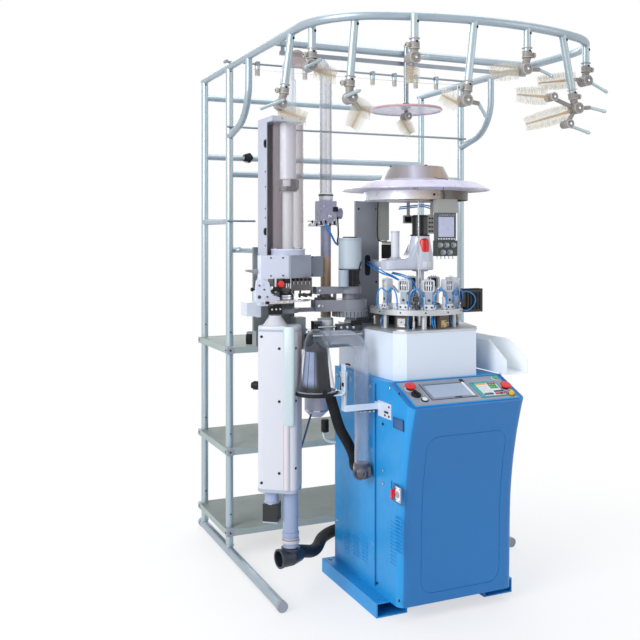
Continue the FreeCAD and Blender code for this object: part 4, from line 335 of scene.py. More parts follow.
def hat_surface():
    """Smoky clear plastic: brownish crown with a painted lilac-white highlight on its left, brownish tips,
    lilac brim, seen through a little.
    """
    s = Surface("hat_plastic", 0.16, IOR=1.49, Specular_IOR_Level=0.7, Coat_Weight=0.3)
    side = s.math("ADD", s.math("MULTIPLY", s.part("X"), 3.6), s.math("MULTIPLY", s.part("Y"), -1.6))
    # crown colour round its side: the pale lilac-white stop is a painted highlight
    brown = s.ramp(s.math("ADD", side, 0.42), [
        (0.0, linear((150, 144, 146))), (0.16, linear((166, 160, 166))), (0.26, linear((214, 214, 234))),
        (0.36, linear((190, 184, 196))), (0.5, linear((170, 160, 158))), (0.66, linear((186, 164, 138))),
        (0.82, linear((160, 150, 148))), (1.0, linear((140, 134, 134)))])
    lilac = s.tint((214, 211, 236), 0.04, 6.0)
    body = s.mix(s.over("Z", 1.672, 0.006), lilac, brown)
    far = s.math("ABSOLUTE", s.math("ADD", s.part("X"), 0.022))
    tips = s.clamped(s.math("DIVIDE", s.math("SUBTRACT", far, 0.235), 0.05))
    s.colour(s.mix(s.math("MULTIPLY", tips, 0.6), body, linear((160, 140, 140))))
    s.rough(0.12, 0.26, 24.0)
    s.bump(s.noise(30.0, 3.0), 0.06, 0.002)
    facing = s.node("ShaderNodeLayerWeight")
    facing.inputs["Blend"].default_value = 0.4
    streak = s.math("MULTIPLY", s.noise(12.0, 5.0), 0.16)
    edge = s.math("MULTIPLY_ADD", facing.outputs["Facing"], 0.3, 0.62)
    s.link(s.math("MINIMUM", s.math("ADD", edge, streak), 0.97), s.shader.inputs["Alpha"])
    return s


def head_surface():
    """Casing pale lilac, switch box grey, rear box darker, gearbox under them brown-grey."""
    s = Surface("head_shell", 0.34, Coat_Weight=0.15)
    casing, switch = s.tint((208, 214, 232), 0.03, 5.0), s.tint((160, 166, 181), 0.03, 5.0)
    rear, gear = s.tint((112, 121, 134), 0.04, 5.0), s.tint((96, 92, 90), 0.06, 9.0)
    right = s.mix(s.over("X", -0.4502, 0.0005), switch, rear)
    upper = s.mix(s.over("X", -0.5765, 0.0005), casing, right)
    under = s.mix(s.over("X", -0.662, 0.0005), s.tint((196, 204, 216), 0.03, 6.0), gear)
    body = s.mix(s.over("Z", 1.2803, 0.0004), under, upper)
    s.colour(s.mix(s.over("Z", 1.3702, 0.0004), body, s.tint((178, 186, 206), 0.03, 6.0)))
    return s.finish(0.28, 0.42, 26.0, 900.0, 0.06, 0.0004)


def band_surface():
    """Rolled band with painted reflections: pale on the left, browner and darker round to the right as
    painted shade.
    """
    s = Surface("band_metal", 0.3, 0.2)
    side = s.math("ADD", s.math("MULTIPLY", s.part("X"), 2.138), s.math("MULTIPLY", s.part("Y"), -0.943))
    # painted reflections and shade round the band, set by position
    s.colour(s.ramp(s.math("ADD", side, 0.6), [
        (0.0, linear((140, 143, 152))), (0.07, linear((222, 224, 230))), (0.42, linear((232, 232, 236))),
        (0.55, linear((206, 192, 184))), (0.72, linear((160, 146, 132))), (0.75, linear((96, 90, 80))),
        (1.0, linear((78, 72, 64)))]))
    return s.finish(0.24, 0.36, 30.0, 500.0, 0.04, 0.0003)


paint("casting_enamel", (200, 206, 222), 0.2, 0.03, 0.05, 0.5, 0.03)
two_tone("guide_tube", (60, 62, 68), (232, 235, 244), 1.6702, rough=0.28, coat=0.3)
two_tone("arm_casting", (140, 146, 156), (128, 131, 143), 1.1412, rough=0.4)
two_tone("arm_drive", (34, 34, 37), (178, 192, 202), 1.313, rough=0.36)
two_tone("dial_drive", (212, 217, 226), (26, 26, 29), -0.09, "X", 0.34)
two_tone("toe_drive", (30, 31, 34), (158, 168, 200), 0.412, rough=0.42)
paint("column_grey", (140, 144, 153), 0.44, 0.06)
two_tone("drain_pipe", (34, 38, 50), (144, 158, 188), 0.244, rough=0.4)
two_tone("actuator_shell", (88, 74, 62), (28, 28, 31), 0.1456, "X", 0.4)
paint("toe_white", (200, 203, 213), 0.34, 0.03, dust=0.04)
paint("corner_cover", (184, 200, 206), 0.34, 0.03, dust=0.04)
paint("strip_white", (206, 200, 208), 0.36, 0.03, dust=0.04)
paint("strip_beige", (196, 184, 184), 0.4, 0.04, dust=0.04)
paint("bracket_white", (210, 224, 240), 0.34, 0.03, dust=0.04)
plastic("elbow_dark", (44, 49, 62), 0.4, 0.06)
plastic("pale_grey", (196, 201, 210), 0.34, 0.03)
plastic("blue_grey", (162, 174, 190), 0.36, 0.04)
plastic("sky_tube", (24, 136, 214), 0.26, 0.08, 0.04, Coat_Weight=0.4)
plastic("dark_green", (52, 62, 56), 0.42, 0.08)
plastic("lilac_plate", (186, 190, 216), 0.3, 0.04, 0.04)
paint("casing_lilac", (206, 212, 230), 0.34, 0.03, dust=0.04)
paint("olive_grey", (150, 152, 146), 0.42, 0.05)
paint("deep_blue", (30, 66, 122), 0.42, 0.05)
for make_surface in (cover_surface, sleeve_surface, shelf_surface, channel_surface, duct_surface,
                     hat_surface, band_surface, head_surface, carrier_surface):
    make_surface()

# surface of every CAD node
FINISH = {
    "tube_steel": "creel_posts hanger_tubes",
    "ring_steel": "creel_rails creel_ring",
    "grey_plastic": "creel_fittings keypad tension_unit",
    "shelf_paint": "shelves",
    "rod_steel": "guide_rods",
    "disc_plastic": "guide_disc",
    "taupe_plastic": "brush_clamps",
    "bristle": "yarn_brushes",
    "blue_paint": "base_rails cabinet_body side_covers",
    "cover_blue": "front_cover",
    "panel_paint": "control_panel",
    "screen_glass": "display_screen",
    "red_plastic": "estop_left estop_right main_switch_lever",
    "black_plastic": "selector_knob filter_base",
    "yellow_plastic": "speed_knob",
    "green_plastic": "start_button",
    "white_plastic": "stop_button feeder_blocks turning_tube",
    "dark_steel": "drive_motor",
    "turned_steel": "motor_pulley needle_cylinder needle_dial linking_dial",
    "belt_rubber": "drive_belt",
    "white_paint": "enclosure_skirt side_bracket toe_box",
    "tray_white_painted_light": "chute_tray",
    "cast_alloy": "machine_bed",
    "actuator_shell": "actuator_blocks",
    "blue_tube": "air_tubes",
    "casting_enamel": "dial_head",
    "dial_drive": "dial_motor",
    "column_grey": "slotted_column",
    "band_metal": "band_ring",
    "hat_plastic": "top_dish",
    "arm_casting": "transfer_arm",
    "arm_drive": "arm_motor",
    "carrier_shell": "toe_carrier",
    "toe_drive": "toe_motor",
    "drain_pipe": "outlet_pipe",
    "rubber": "outlet_hose suction_hose",
    "head_shell": "sewing_head",
    "channel_paint": "column_channel",
    "column_clear": "column_tube",
    "guide_tube": "gripper_carriage",
    "clear_plastic": "clear_ducts",
    "duct_plastic": "valve_block",
    "jar_plastic": "filter_jar",
}
for finish, node_names in FINISH.items():
    for node_name in node_names.split():
        for material_slot in nodes[node_name].material_slots:
            material_slot.material = SURFACES[finish].mat


# upright axes of the main parts, and levels that several parts share (mm)
HEAD = Vector((0, 0, 0))
BED = Vector((-21, 0, 0))
HAT = Vector((-22, 0, 0))
ARM = Vector((-273, 100, 0))
CUP = Vector((-433, 78, 0))
COLUMN = Vector((-549, 96, 0))
LINKING = Vector((-563.6, 110, 0))
DRAIN = Vector((-575, 3, 0))
JAR = Vector((-495, -60, 0))
WASTE = Vector((-348, 176, 0))
CARRIER_TOP = 1061.6
BED_TOP = 1153.0
FEEDER_Z = 1247.5
RING_TOP = 2210.0
FLANK = -258.0
SHELF_TOPS = (946.0, 490.0, 128.0)


# ---- mesh builder ----
def frame_on(way):
    """Two unit vectors square to a direction."""
    way = way.normalized()
    side = way.cross(Z) if abs(way.z) < 0.9 else way.cross(X)
    side.normalize()
    return side, way.cross(side)


class Build:
    """One mesh piece, put together from closed forms. Lengths are in millimetres."""

    def __init__(self):
        self.bm = bmesh.new()

    def quad(self, *verts):
        self.bm.faces.new(verts)

    def solid(self, rings, closed=False):
        """Skins a row of rings of points; the two ends are capped unless the row closes."""
        loops = [[self.bm.verts.new(p / 1000.0) for p in ring] for ring in rings]
        count = len(loops[0])
        pairs = list(zip(loops[:-1], loops[1:])) + ([(loops[-1], loops[0])] if closed else [])
        for low, high in pairs:
            for i in range(count):
                j = (i + 1) % count
                self.quad(low[i], low[j], high[j], high[i])
        if not closed:
            self.bm.faces.new(list(reversed(loops[0])))
            self.bm.faces.new(loops[-1])
        return self

    def box(self, x0, x1, y0, y1, z0, z1, turn=None, at=None):
        """A box along the axes, or turned and then moved to a place."""
        base = [Vector(p) for p in ((x0, y0, z0), (x1, y0, z0), (x1, y1, z0), (x0, y1, z0))]
        top = [p + Vector((0, 0, z1 - z0)) for p in base]
        if turn is not None:
            base = [at + turn @ p for p in base]
            top = [at + turn @ p for p in top]
        return self.solid([base, top])

    def boxes(self, *rows):
        for row in rows:
            self.box(*row)

    def ring(self, centre, way, radius, count):
        side, up = frame_on(way)
        return [centre + (side * math.cos(a) + up * math.sin(a)) * radius
                for a in (2 * math.pi * i / count for i in range(count))]

    def turned(self, start, way, profile, count=24):
        """A turned form: profile rows are (distance along the axis, radius)."""
        way = Vector(way).normalized()
        return self.solid([self.ring(Vector(start) + way * d, way, r, count) for d, r in profile])

    def rod(self, start, end, radius, count=16):
        """A round rod with small chamfers."""
        start, end = Vector(start), Vector(end)
        long = (end - start).length
        lip = min(radius * 0.18, long * 0.2)
        return self.turned(start, end - start, ((0, radius - lip), (lip, radius), (long - lip, radius),
                                                (long, radius - lip)), count)

    def wire(self, points, radius, count=8, steps=6, closed=False):
        """Round wire along a smooth line through the points."""
        points = [Vector(p) for p in points]
        line = smooth_line(points, steps, closed)
        rings = []
        side = None
        for i, p in enumerate(line):
            after = line[(i + 1) % len(line)] if closed or i + 1 < len(line) else p
            before = line[i - 1] if closed or i > 0 else p
            way = (after - before).normalized()
            if side is None:
                side, _ = frame_on(way)
            side = (side - way * side.dot(way)).normalized()
            up = way.cross(side)
            r = radius(i / (len(line) - 1)) if callable(radius) else radius
            rings.append([p + (side * math.cos(a) + up * math.sin(a)) * r
                          for a in (2 * math.pi * k / count for k in range(count))])
        return self.solid(rings, closed)

    def plate(self, outline, thick):
        """A flat plate: outline points, pushed out by a vector."""
        low = [Vector(p) for p in outline]
        return self.solid([low, [p + Vector(thick) for p in low]])

    def tube(self, start, way, outer, inner, long, count=32):
        """A ring or pipe, open through."""
        way = Vector(way).normalized()
        start = Vector(start)
        rows = ((0, outer), (long, outer), (long, inner), (0, inner))
        return self.solid([self.ring(start + way * d, way, r, count) for d, r in rows], closed=True)

    def done(self, name, material, slot="", bevel=0.0, node=(), body="machine"):
        """Closes the piece: outward faces, sharp edges kept, a small bevel, material and body.
        The slot is not used."""
        bmesh.ops.recalc_face_normals(self.bm, faces=self.bm.faces)
        for face in self.bm.faces:
            face.smooth = True
        for edge in self.bm.edges:
            if len(edge.link_faces) == 2 and edge.calc_face_angle() > 0.6:
                edge.smooth = False
        mesh = bpy.data.meshes.new(name)
        self.bm.to_mesh(mesh)
        self.bm.free()
        piece = bpy.data.objects.new(name, mesh)
        bpy.context.collection.objects.link(piece)
        mesh.materials.append(SURFACES[material].mat)
        if bevel:
            rounding = piece.modifiers.new("edges", "BEVEL")
            rounding.width = bevel / 1000.0
            rounding.segments = 2
            rounding.limit_method = "ANGLE"
            rounding.angle_limit = 0.6
        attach(piece, body)
        slot = slot or material
        if node:
            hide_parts(*node)
        return piece


def smooth_line(points, steps, closed=False):
    """Catmull-Rom line through the points."""
    count = len(points)
    if count < 3 and not closed:
        return points
    line = []
    spans = count if closed else count - 1
    for i in range(spans):
        a, b, c, d = (points[(i + k) % count] if closed else points[min(max(i + k, 0), count - 1)]
                      for k in (-1, 0, 1, 2))
        for k in range(steps):
            t = k / steps
            line.append(0.5 * ((2 * b) + (c - a) * t + (2 * a - 5 * b + 4 * c - d) * t * t
                               + (3 * b - a - 3 * c + d) * t ** 3))
    if not closed:
        line.append(points[-1])
    return line


def outward(degrees):
    """Unit vector in the floor's plane, at an angle from the X axis."""
    a = math.radians(degrees)
    return Vector((math.cos(a), math.sin(a), 0))


def polar(radius, degrees, z, centre=(0, 0)):
    """A place at a radius, angle and height round an upright axis."""
    return Vector((centre[0], centre[1], z)) + outward(degrees) * radius


def stud(radius, high, top=None, top_radius=None):
    """Profile of a disc or screw head: straight up to a height, then in to a smaller top."""
    rows = ((0, radius), (high, radius))
    return rows if top is None else (*rows, (top, top_radius))


def turned_by(degrees):
    return Matrix.Rotation(math.radians(degrees), 3, "Z")


def rounded(w, h, r, steps=4):
    """Points of a rounded rectangle about its middle."""
    points = []
    x, y = w / 2 - r, h / 2 - r
    for cx, cy, start in ((x, y, 0), (-x, y, 90), (-x, -y, 180), (x, -y, 270)):
        for i in range(steps + 1):
            a = math.radians(start + 90.0 * i / steps)
            points.append((cx + r * math.cos(a), cy + r * math.sin(a)))
    return points


def spot(turn, r, t, z, at=HEAD):
    """A place given outwards, sideways and up, turned round an upright axis."""
    return at + turn @ Vector((r, t, z))


# ---- yarn brushes and their clamps ----
# x and y on the ring, sideways lean, drop, barrel from the foot, then from the barrel's middle
# in x and z: both ends of the grip rod, both ends of each comb's spine (mm)
HANGERS = (
    (-615, -106, -31, 235, (-14, -39), (-88, -26, 4, 12), ((-9, -24, 104, -48),)),
    (-592, -247, 0, 125, (-8, -27), (-31, -13, 31, 21), ((16, -12, 102, -32),)),
    (-495, -401, -22, 245, (2, -39), (-34, -2, 27, 26), ((8, -17, 82, -47), (31, -43, 0, -104))),
    (-325, -518, 0, 120, (-7, -32), (28, 4, 66, 10), ((-4, -28, -4, -86),)),
    (-90, -532.5, -31, 255, (-10, -33), (58, -6, 92, -54), ((-25, -12, -94, 15),)),
    (141, -527.5, 0, 115, (-13, -43), (67, 5, 131, -16), ((-27, -6, -148, -24),)),
    (330, -490.6, 54, 245, (10, -35), (67, 8, 146, -3), ((-29, -13, -230, -71),)),
    (529, -391, 0, 115, (-5, -35), (25, -2, 113, -37), ((-45, 3, -227, -24),)),
)
BARREL_R, HUB_R, BARREL_HALF = 21.0, 16.0, 22.0
LINKED_HANGER = 330
bristles, spines, rods, caps, screws, dots = (Build() for _ in range(6))


def spine_half(t):
    """Half width of a comb's spine, from its root at 0 to its tip at 1."""
    return 5.6 - 3.6 * t


def brush(centre, ends):
    """A tapered spine with two rows of fine curved bristles on each side."""
    start = centre + Vector((ends[0], 0, ends[1]))
    run = Vector((ends[2] - ends[0], 0, ends[3] - ends[1]))
    long, way = run.length, run.normalized()
    across = Vector((-way.z, 0, way.x))
    rows = []
    for t in (0.0, 0.25, 0.6, 0.9, 1.0):
        mid, w, h = start + run * t, spine_half(t), 3.2 - 1.6 * t
        rows.append([mid + across * w + Y * h * 0.4, mid + Y * h, mid - across * w + Y * h * 0.4,
                     mid - across * w - Y * h * 0.4, mid - Y * h, mid + across * w - Y * h * 0.4])
    spines.solid(rows)
    count = max(11, int(long / 5.4))
    for row in (-1, 1):
        for side in (-1, 1):
            for i in range(count):
                t = (i + 0.5 + 0.25 * row) / count
                reach = 31.0 * (1.0 - 0.5 * abs(t - 0.42) ** 1.5) * random.uniform(0.93, 1.05)
                lean = 0.12 + 0.45 * t + random.uniform(-0.05, 0.05)
                root = start + run * t + across * side * spine_half(t) * 0.6 + Y * row * 1.2
                tip = root + across * side * reach + way * lean * reach * 0.5
                tip += Y * row * random.uniform(1, 4)
                mid = root.lerp(tip, 0.55) - way * lean * 3.0
                bristles.wire([root, mid, tip], lambda s: 1.5 - 0.9 * s, 4, 3)


def disc_end(centre, radius):
    """The metal screw and rim on a barrel's front face."""
    front = centre - Y * BARREL_HALF
    caps.tube(front - Y * 1.2, Y, radius + 0.6, radius - 3.0, 4.0, 28)
    screws.turned(front - Y * 3.4, Y, ((0, 3.4), (0.6, 5.0), (3.6, 5.4), (3.6, 7.2), (5.0, 7.6)), 18)
    for side in (-1, 1):
        spot = front + Vector((side * radius * 0.55, -0.7, radius * 0.35))
        dots.turned(spot, Y, stud(1.6, 1.5), 10)


def grip(centre, ends, front):
    a = centre + Vector((ends[0], front, ends[1]))
    b = centre + Vector((ends[2], front, ends[3]))
    way = (b - a).normalized()
    rods.rod(a - way * 0.6, b + way * 0.6, 6.1, 14)
    rods.turned(b - way * 14, way, ((0, 6.2), (1, 7.6), (7, 7.6), (8, 6.2)), 14)


for x, y, lean, drop, barrel, grip_ends, combs in HANGERS:
    head = Vector((x, y, RING_TOP))
    foot = Vector((x + lean, y, RING_TOP - drop))
    along = (foot - head).normalized()
    centre = foot + Vector((barrel[0], 0, barrel[1]))
    disc_end(centre, BARREL_R)
    # collar ribs and the clamp screw with its dark socket
    for back in (4, 38):
        caps.turned(foot - along * back, along, ((0, 18.2), (0.6, 19.2), (3.4, 19.2), (4, 18.2)), 26)
    outer = X * math.copysign(1.0, x)
    knob = foot - along * 12 + outer * 33
    caps.turned(knob - outer * 9, outer, ((0, 8.2), (1, 10.2), (9, 10.2), (10, 9.0)), 18)
    dots.turned(knob + outer * 0.2, outer, stud(4.2, 1.2), 12)
    dots.turned(foot - along * 24 - Y * 18.8, Y, stud(4.0, 2.0), 12)
    # screw at the hanger's head
    dots.turned(head + along * 26 + X * 6 - Y * 13.8, Y, ((0, 4.6), (0.5, 5.4), (3.0, 5.4)), 14)
    grip(centre, grip_ends, -BARREL_HALF - 4.4 if grip_ends[0] < 0 else 0.0)
    for index, ends in enumerate(combs):
        brush(centre - Y * 15.0 * index, ends)
    if x == LINKED_HANGER:
        low, left = centre + Vector((-41, 0, -61)), centre + Vector((-116, 0, 36))
        disc_end(low, HUB_R)
        disc_end(left, HUB_R)
        grip(low, (24, -8, 108, -29), 0.0)
        brush(left, (-16, 0, -154, 0))
disc_hub = Vector((-35, 54, 1944))
disc_end(disc_hub, HUB_R)
brush(disc_hub, (-24, -10, 22, -72))
bristles.done("brush_bristles", "bristle", node=["yarn_brushes"])
spines.done("brush_spines", "spine_tan", "bristle", 0.4)
rods.done("grip_rods", "tube_steel", "tube_blue_grey")
caps.done("clamp_rims", "taupe_pale", "taupe_plastic", 0.3)
screws.done("clamp_screws", "bright_steel", "bright_rod", 0.2)
dots.done("clamp_sockets", "black_plastic")

# ---- eyelets, disc and shelf fittings ----
EYELET_XS = (-486, -250, 105, 225, 345, 462)
EYELET_Y, EYELET_Z = 632, 2178
bodies, bands, tips = Build(), Build(), Build()
for x in EYELET_XS:
    eye = Vector((x, EYELET_Y, EYELET_Z))
    bodies.tube(eye, Z, 11.2, 6.4, 26, 24)
    bands.turned(eye + Z * 26, Z, ((0, 10.6), (1, 12.2), (17, 12.2), (18, 10.6)), 24)
    tips.turned(eye - Z * 2.5, Z, ((0, 7.5), (0.8, 9.6), (2.6, 10.4), (3.4, 9.8)), 22)
    tips.turned(eye + Z * 63, Z, ((0, 9.8), (1, 11.0), (5, 9.6), (7, 5.0)), 22)
bodies.done("eyelet_bodies", "taupe_pale", "taupe_plastic")
bands.done("eyelet_bands", "tube_steel", "tube_blue_grey")
tips.done("eyelet_tips", "white_plastic", "bristle")
wires = Build()
sag = ((-600, 2214), (-486, 2206), (-250, 2204), (105, 2205), (345, 2205), (462, 2207), (600, 2214))
wires.wire([(x, EYELET_Y, z) for x, z in sag], 1.3, 8, 6)
wires.done("eyelet_wire", "bright_steel", "bright_rod")

DISC = Vector((-35, 54, 1968))
rim, spokes, hub = Build(), Build(), Build()
rim.wire([DISC + outward(15 * i) * 146 + Z * 2.5 for i in range(24)], 4.6, 10, 4, closed=True)
for i in range(8):
    way = outward(45 * i)
    spokes.rod(DISC + way * 24 + Z * 7, DISC + way * 138 + Z * 7, 2.2, 10)
    spokes.turned(DISC + way * 132 + Z * 4, Z, ((0, 6), (1, 7), (6, 7), (7, 5)), 14)
hub.turned(DISC + Z * 5, Z, ((0, 25), (1.5, 26), (9, 24), (11, 16), (26, 14), (27, 12)), 28)
rim.done("disc_rim", "disc_rim_plastic", "clear_disc")
spokes.done("disc_spokes", "disc_plastic", "clear_disc")
hub.done("disc_hub", "dark_steel", "bright_rod", 0.3)

# ---- knitting head ----
# the loop on a feeder's head: distance from the axis, width, height, corner
FEEDER_LOOP = ((137, 49, 50, 9), (162, 49, 50, 9), (163, 47, 48, 8), (163, 35, 36, 4), (137, 35, 36, 4))
bases, stems, heads, backs, guides, fingers, feet = (Build() for _ in range(7))
for degrees in (178, 216, 252, 286, 322, 0, 37, 75):
    turn = turned_by(degrees)
    bases.box(134, 166, -19, 19, BED_TOP, BED_TOP + 21, turn, HEAD)
    bases.box(140, 160, -21, -14, BED_TOP + 21, BED_TOP + 50, turn, HEAD)
    stems.box(137, 163, -13.4, 14, BED_TOP + 21, BED_TOP + 70, turn, HEAD)
    stems.box(139, 161, 14, 20, BED_TOP + 34, BED_TOP + 60, turn, HEAD)
    heads.solid([[spot(turn, r, a, FEEDER_Z + b) for a, b in rounded(w, h, c)]
                 for r, w, h, c in FEEDER_LOOP], closed=True)
    backs.box(144, 149, -17.2, 17.2, FEEDER_Z - 17.8, FEEDER_Z + 17.8, turn, HEAD)
    backs.box(137.4, 139.4, -17.2, 17.2, FEEDER_Z + 4, FEEDER_Z + 17.8, turn, HEAD)
    for side in (-9.5, 0, 9.5):
        guides.rod(spot(turn, 156, side, FEEDER_Z - 18), spot(turn, 156, side, FEEDER_Z + 18), 2.6, 10)
        guides.turned(spot(turn, 155, side, FEEDER_Z + 2), turn @ X,
                      ((0, 3.6), (1, 4.4), (5, 4.4), (6, 3.4)), 12)
        guides.turned(spot(turn, 150, side, FEEDER_Z + 24), Z, stud(1.9, 6, 7, 1.2), 8)
        fingers.wire([spot(turn, r, t, z) for r, t, z in (
            (139, side, FEEDER_Z + 1), (122, side * 0.9, 1240), (99, side * 0.8, 1214))],
            lambda s: 2.3 - 0.9 * s, 8, 4)
    for side in (-11, 11):
        feet.turned(spot(turn, 165.5, side, BED_TOP + 10), turn @ X,
                    ((0, 4.2), (2.0, 4.2), (2.0, 2.4), (3.0, 2.2)), 12)
    feet.turned(spot(turn, 162.5, 0, BED_TOP + 38), turn @ X, stud(5.2, 3.0, 4.4, 3.6), 14)
bases.done("feeder_bases", "white_plastic", "feeder_white", 1.2, ["feeder_blocks"])
stems.done("feeder_stems", "blue_grey", "feeder_white", 1.0)
heads.done("feeder_heads", "pale_grey", "feeder_white", 0.5)
backs.done("feeder_backs", "black_plastic", bevel=0.5)
guides.done("feeder_guides", "white_plastic", "feeder_white")
fingers.done("feeder_fingers", "bright_steel", "bed_steel")
feet.done("feeder_screws", "dark_steel", "bed_steel")

NEEDLES, DIAL_JACKS = 84, 48
pins, jacks = Build(), Build()
for i in range(NEEDLES):
    a = polar(60.0, 360.0 * i / NEEDLES, 1158)
    pins.turned(a, Z, ((0, 0.9), (44, 0.9), (49, 1.5), (52, 0.7)), 6)
pins.done("needles", "bright_steel", "cylinder_steel", body="cylinder")
for i in range(DIAL_JACKS):
    turn = turned_by(360.0 * i / DIAL_JACKS)
    jacks.box(31, 56.5, -0.9, 0.9, 1211.8, 1213.4, turn, HEAD)
jacks.tube((0, 0, 1211.8), Z, 30.8, 28.0, 3.4, 40)
jacks.done("dial_jacks", "turned_steel", "cylinder_steel", body="dial")

sinkers, slits = Build(), Build()
sinkers.tube((0, 0, 1152.6), Z, 90, 65, 9.4, 64)
sinkers.tube((0, 0, 1161.6), Z, 84, 66, 4.4, 64)
for i in range(60):
    turn = turned_by(6.0 * i)
    slits.box(67, 83, -0.8, 0.8, 1165.6, 1167.4, turn, HEAD)
sinkers.done("sinker_ring", "turned_steel", "bed_steel", 0.5)
slits.done("sinker_slots", "dark_steel", "bed_steel")

# dark screw heads round the bed's edge, and a bright bead on its top
edge_dots, bed_bead = Build(), Build()
for i in range(12):
    turn = turned_by(30.0 * i + 12)
    edge_dots.turned(spot(turn, 190.2, 0, 1144, BED), turn @ X, stud(3.4, 1.4), 12)
    edge_dots.turned(spot(turn, 178, 6, BED_TOP - 0.4, BED), Z, stud(3.6, 2.6, 3.2, 2.6), 12)
bed_bead.tube(BED + Z * 1152.6, Z, 190.6, 186.5, 1.6, 96)
edge_dots.done("bed_screws", "black_plastic")
bed_bead.done("bed_bead", "bright_steel", "bed_steel")

loops, joints = Build(), Build()
for degrees in (197, 234, 269, 304):
    turn = turned_by(degrees)
    ends = random.uniform(-2, 2)
    loops.wire([spot(turn, r, t, z) for r, t, z in (
        (162, -24, 1154), (163, -28, 1184), (164, -20 + ends, 1220), (164, 0, 1236), (164, 19 + ends, 1221),
        (163, 27, 1188), (162, 24, 1154))], 3.0, 10, 6)
    for t in (-24, 24):
        joints.turned(spot(turn, 162, t, 1152.8), Z, ((0, 5.2), (6, 5.2), (6.5, 4.0), (11, 4.0)), 14)
loops.done("air_loops", "sky_tube", "air_blue", node=["air_tubes"])

# thin air tubes: loop and tail at the valve, bundle from the column, pair over the dial motor,
# tails under the bed
AIR_RUNS = (
    ((126, -60, 1170), (150, -62, 1206), (181, -66, 1226), (214, -60, 1214), (230, -50, 1184),
     (212, -56, 1146), (178, -62, 1136), (150, -60, 1150)),
    ((120, -66, 1168), (141, -70, 1196), (170, -74, 1216), (203, -80, 1206), (218, -80, 1180),
     (203, -80, 1152), (172, -80, 1138), (140, -76, 1150)),
    ((86, -92, 1168), (96, -100, 1206), (122, -96, 1226), (150, -84, 1216), (156, -78, 1186)),
    ((-236, -76, 1160), (-240, -78, 1206), (-226, -80, 1240), (-206, -92, 1226)),
    ((-156, 174, 1338), (-158, 120, 1326), (-136, 66, 1298), (-118, 20, 1283),
     (-104, -24, 1262), (-92, -54, 1236)),
    ((-160, 174, 1330), (-164, 126, 1318), (-150, 70, 1296), (-128, 30, 1284), (-112, -10, 1270),
     (-100, -44, 1240)),
    ((-152, 174, 1322), (-155, 116, 1312), (-144, 60, 1290), (-122, 24, 1279), (-104, -16, 1262),
     (-84, -62, 1238)),
    ((-112, 30, 1296), (-84, -40, 1282), (-60, -62, 1250), (-66, -70, 1206)),
    ((-118, 26, 1292), (-92, -48, 1276), (-72, -66, 1244), (-78, -72, 1200)),
    ((-60, 66, 1566), (-20, 60, 1570), (13, 58, 1574), (54, 60, 1576), (104, 62, 1566), (130, 72, 1540)),
    ((-60, 72, 1558), (-18, 66, 1563), (16, 64, 1567), (58, 66, 1569), (100, 70, 1560)),
    ((74, -108, 1130), (70, -124, 1104), (78, -120, 1080)),
    ((82, -104, 1130), (80, -122, 1100), (88, -116, 1080)),
    ((-30, -150, 1130), (-36, -158, 1106), (-28, -156, 1080)),
    ((-22, -150, 1130), (-27, -160, 1104), (-20, -158, 1080)),
    ((-128, -130, 1130), (-136, -138, 1106), (-130, -134, 1080)),
    ((98, -70, 1130), (120, -80, 1104), (132, -86, 1080)),
    ((-180, -20, 1130), (-196, -26, 1104), (-190, -22, 1080)),
)
runs = Build()
for row in AIR_RUNS:
    runs.wire(row, 2.7, 8, 6)
runs.done("air_tube_runs", "sky_tube", "air_blue")
for at in ((150, -60, 1150), (140, -76, 1150), (126, -60, 1168), (86, -92, 1166)):
    joints.turned(Vector(at) - Z * 6, Z, ((0, 5), (8, 5), (8, 3.8), (13, 3.8)), 12)
joints.done("air_joints", "pale_grey", "feeder_white")

# black valve on the right: ribs, sockets and screws
ribs, ends = Build(), Build()
for i in range(5):
    ribs.box(176 + 16 * i, 184 + 16 * i, -77.5, -73, 1140, 1212)
for z in (1152, 1176, 1200):
    ribs.box(257.5, 263, -66, -32, z - 8, z + 8)
    for y in (-58, -40):
        ends.turned((262, y, z), X, stud(4, 4, 4.4, 2.8), 12)
ribs.box(168, 262, -70, -28, 1222, 1226)
ribs.done("valve_ribs", "rubber", "black_plastic", 0.8)
ends.done("valve_ends", "bright_steel", "bed_steel")

# blocks, cylinders and screws in the gap under the bed
BLOCK_FACE = 170
brassy, silver, dark = Build(), Build(), Build()
for degrees, brass_faced in ((42, True), (102, True), (162, False), (222, False), (282, True), (342, True)):
    turn = turned_by(degrees)
    if brass_faced:
        brassy.box(BLOCK_FACE - 0.5, BLOCK_FACE + 7, -20, 4, 1084, 1112, turn, BED)
        brassy.box(BLOCK_FACE - 0.5, BLOCK_FACE + 5, 6, 20, 1090, 1104, turn, BED)
    else:
        silver.box(BLOCK_FACE - 0.5, BLOCK_FACE + 6, -18, 14, 1086, 1120, turn, BED)
    for t, z in ((-14, 1090), (-2, 1106), (12, 1096)):
        dark.turned(spot(turn, BLOCK_FACE + 4, t, z, BED), turn @ X, stud(2.6, 5, 5.6, 1.6), 10)
    silver.turned(spot(turn, 138, 36, 1078, BED), Z, ((0, 9), (30, 9), (31, 6), (54.6, 6)), 18)
    dark.turned(spot(turn, 150, -34, 1078, BED), Z, ((0, 7), (20, 7), (21, 4.5), (54.6, 4.5)), 14)
silver.tube((0, 0, 1078), Z, 74, 66, 50, 48)
brassy.done("valve_plates", "brass", "brass_block", 0.6)
silver.done("lift_pins", "bright_steel", "bed_steel", 0.4)
dark.done("block_screws", "dark_steel", "black_plastic")

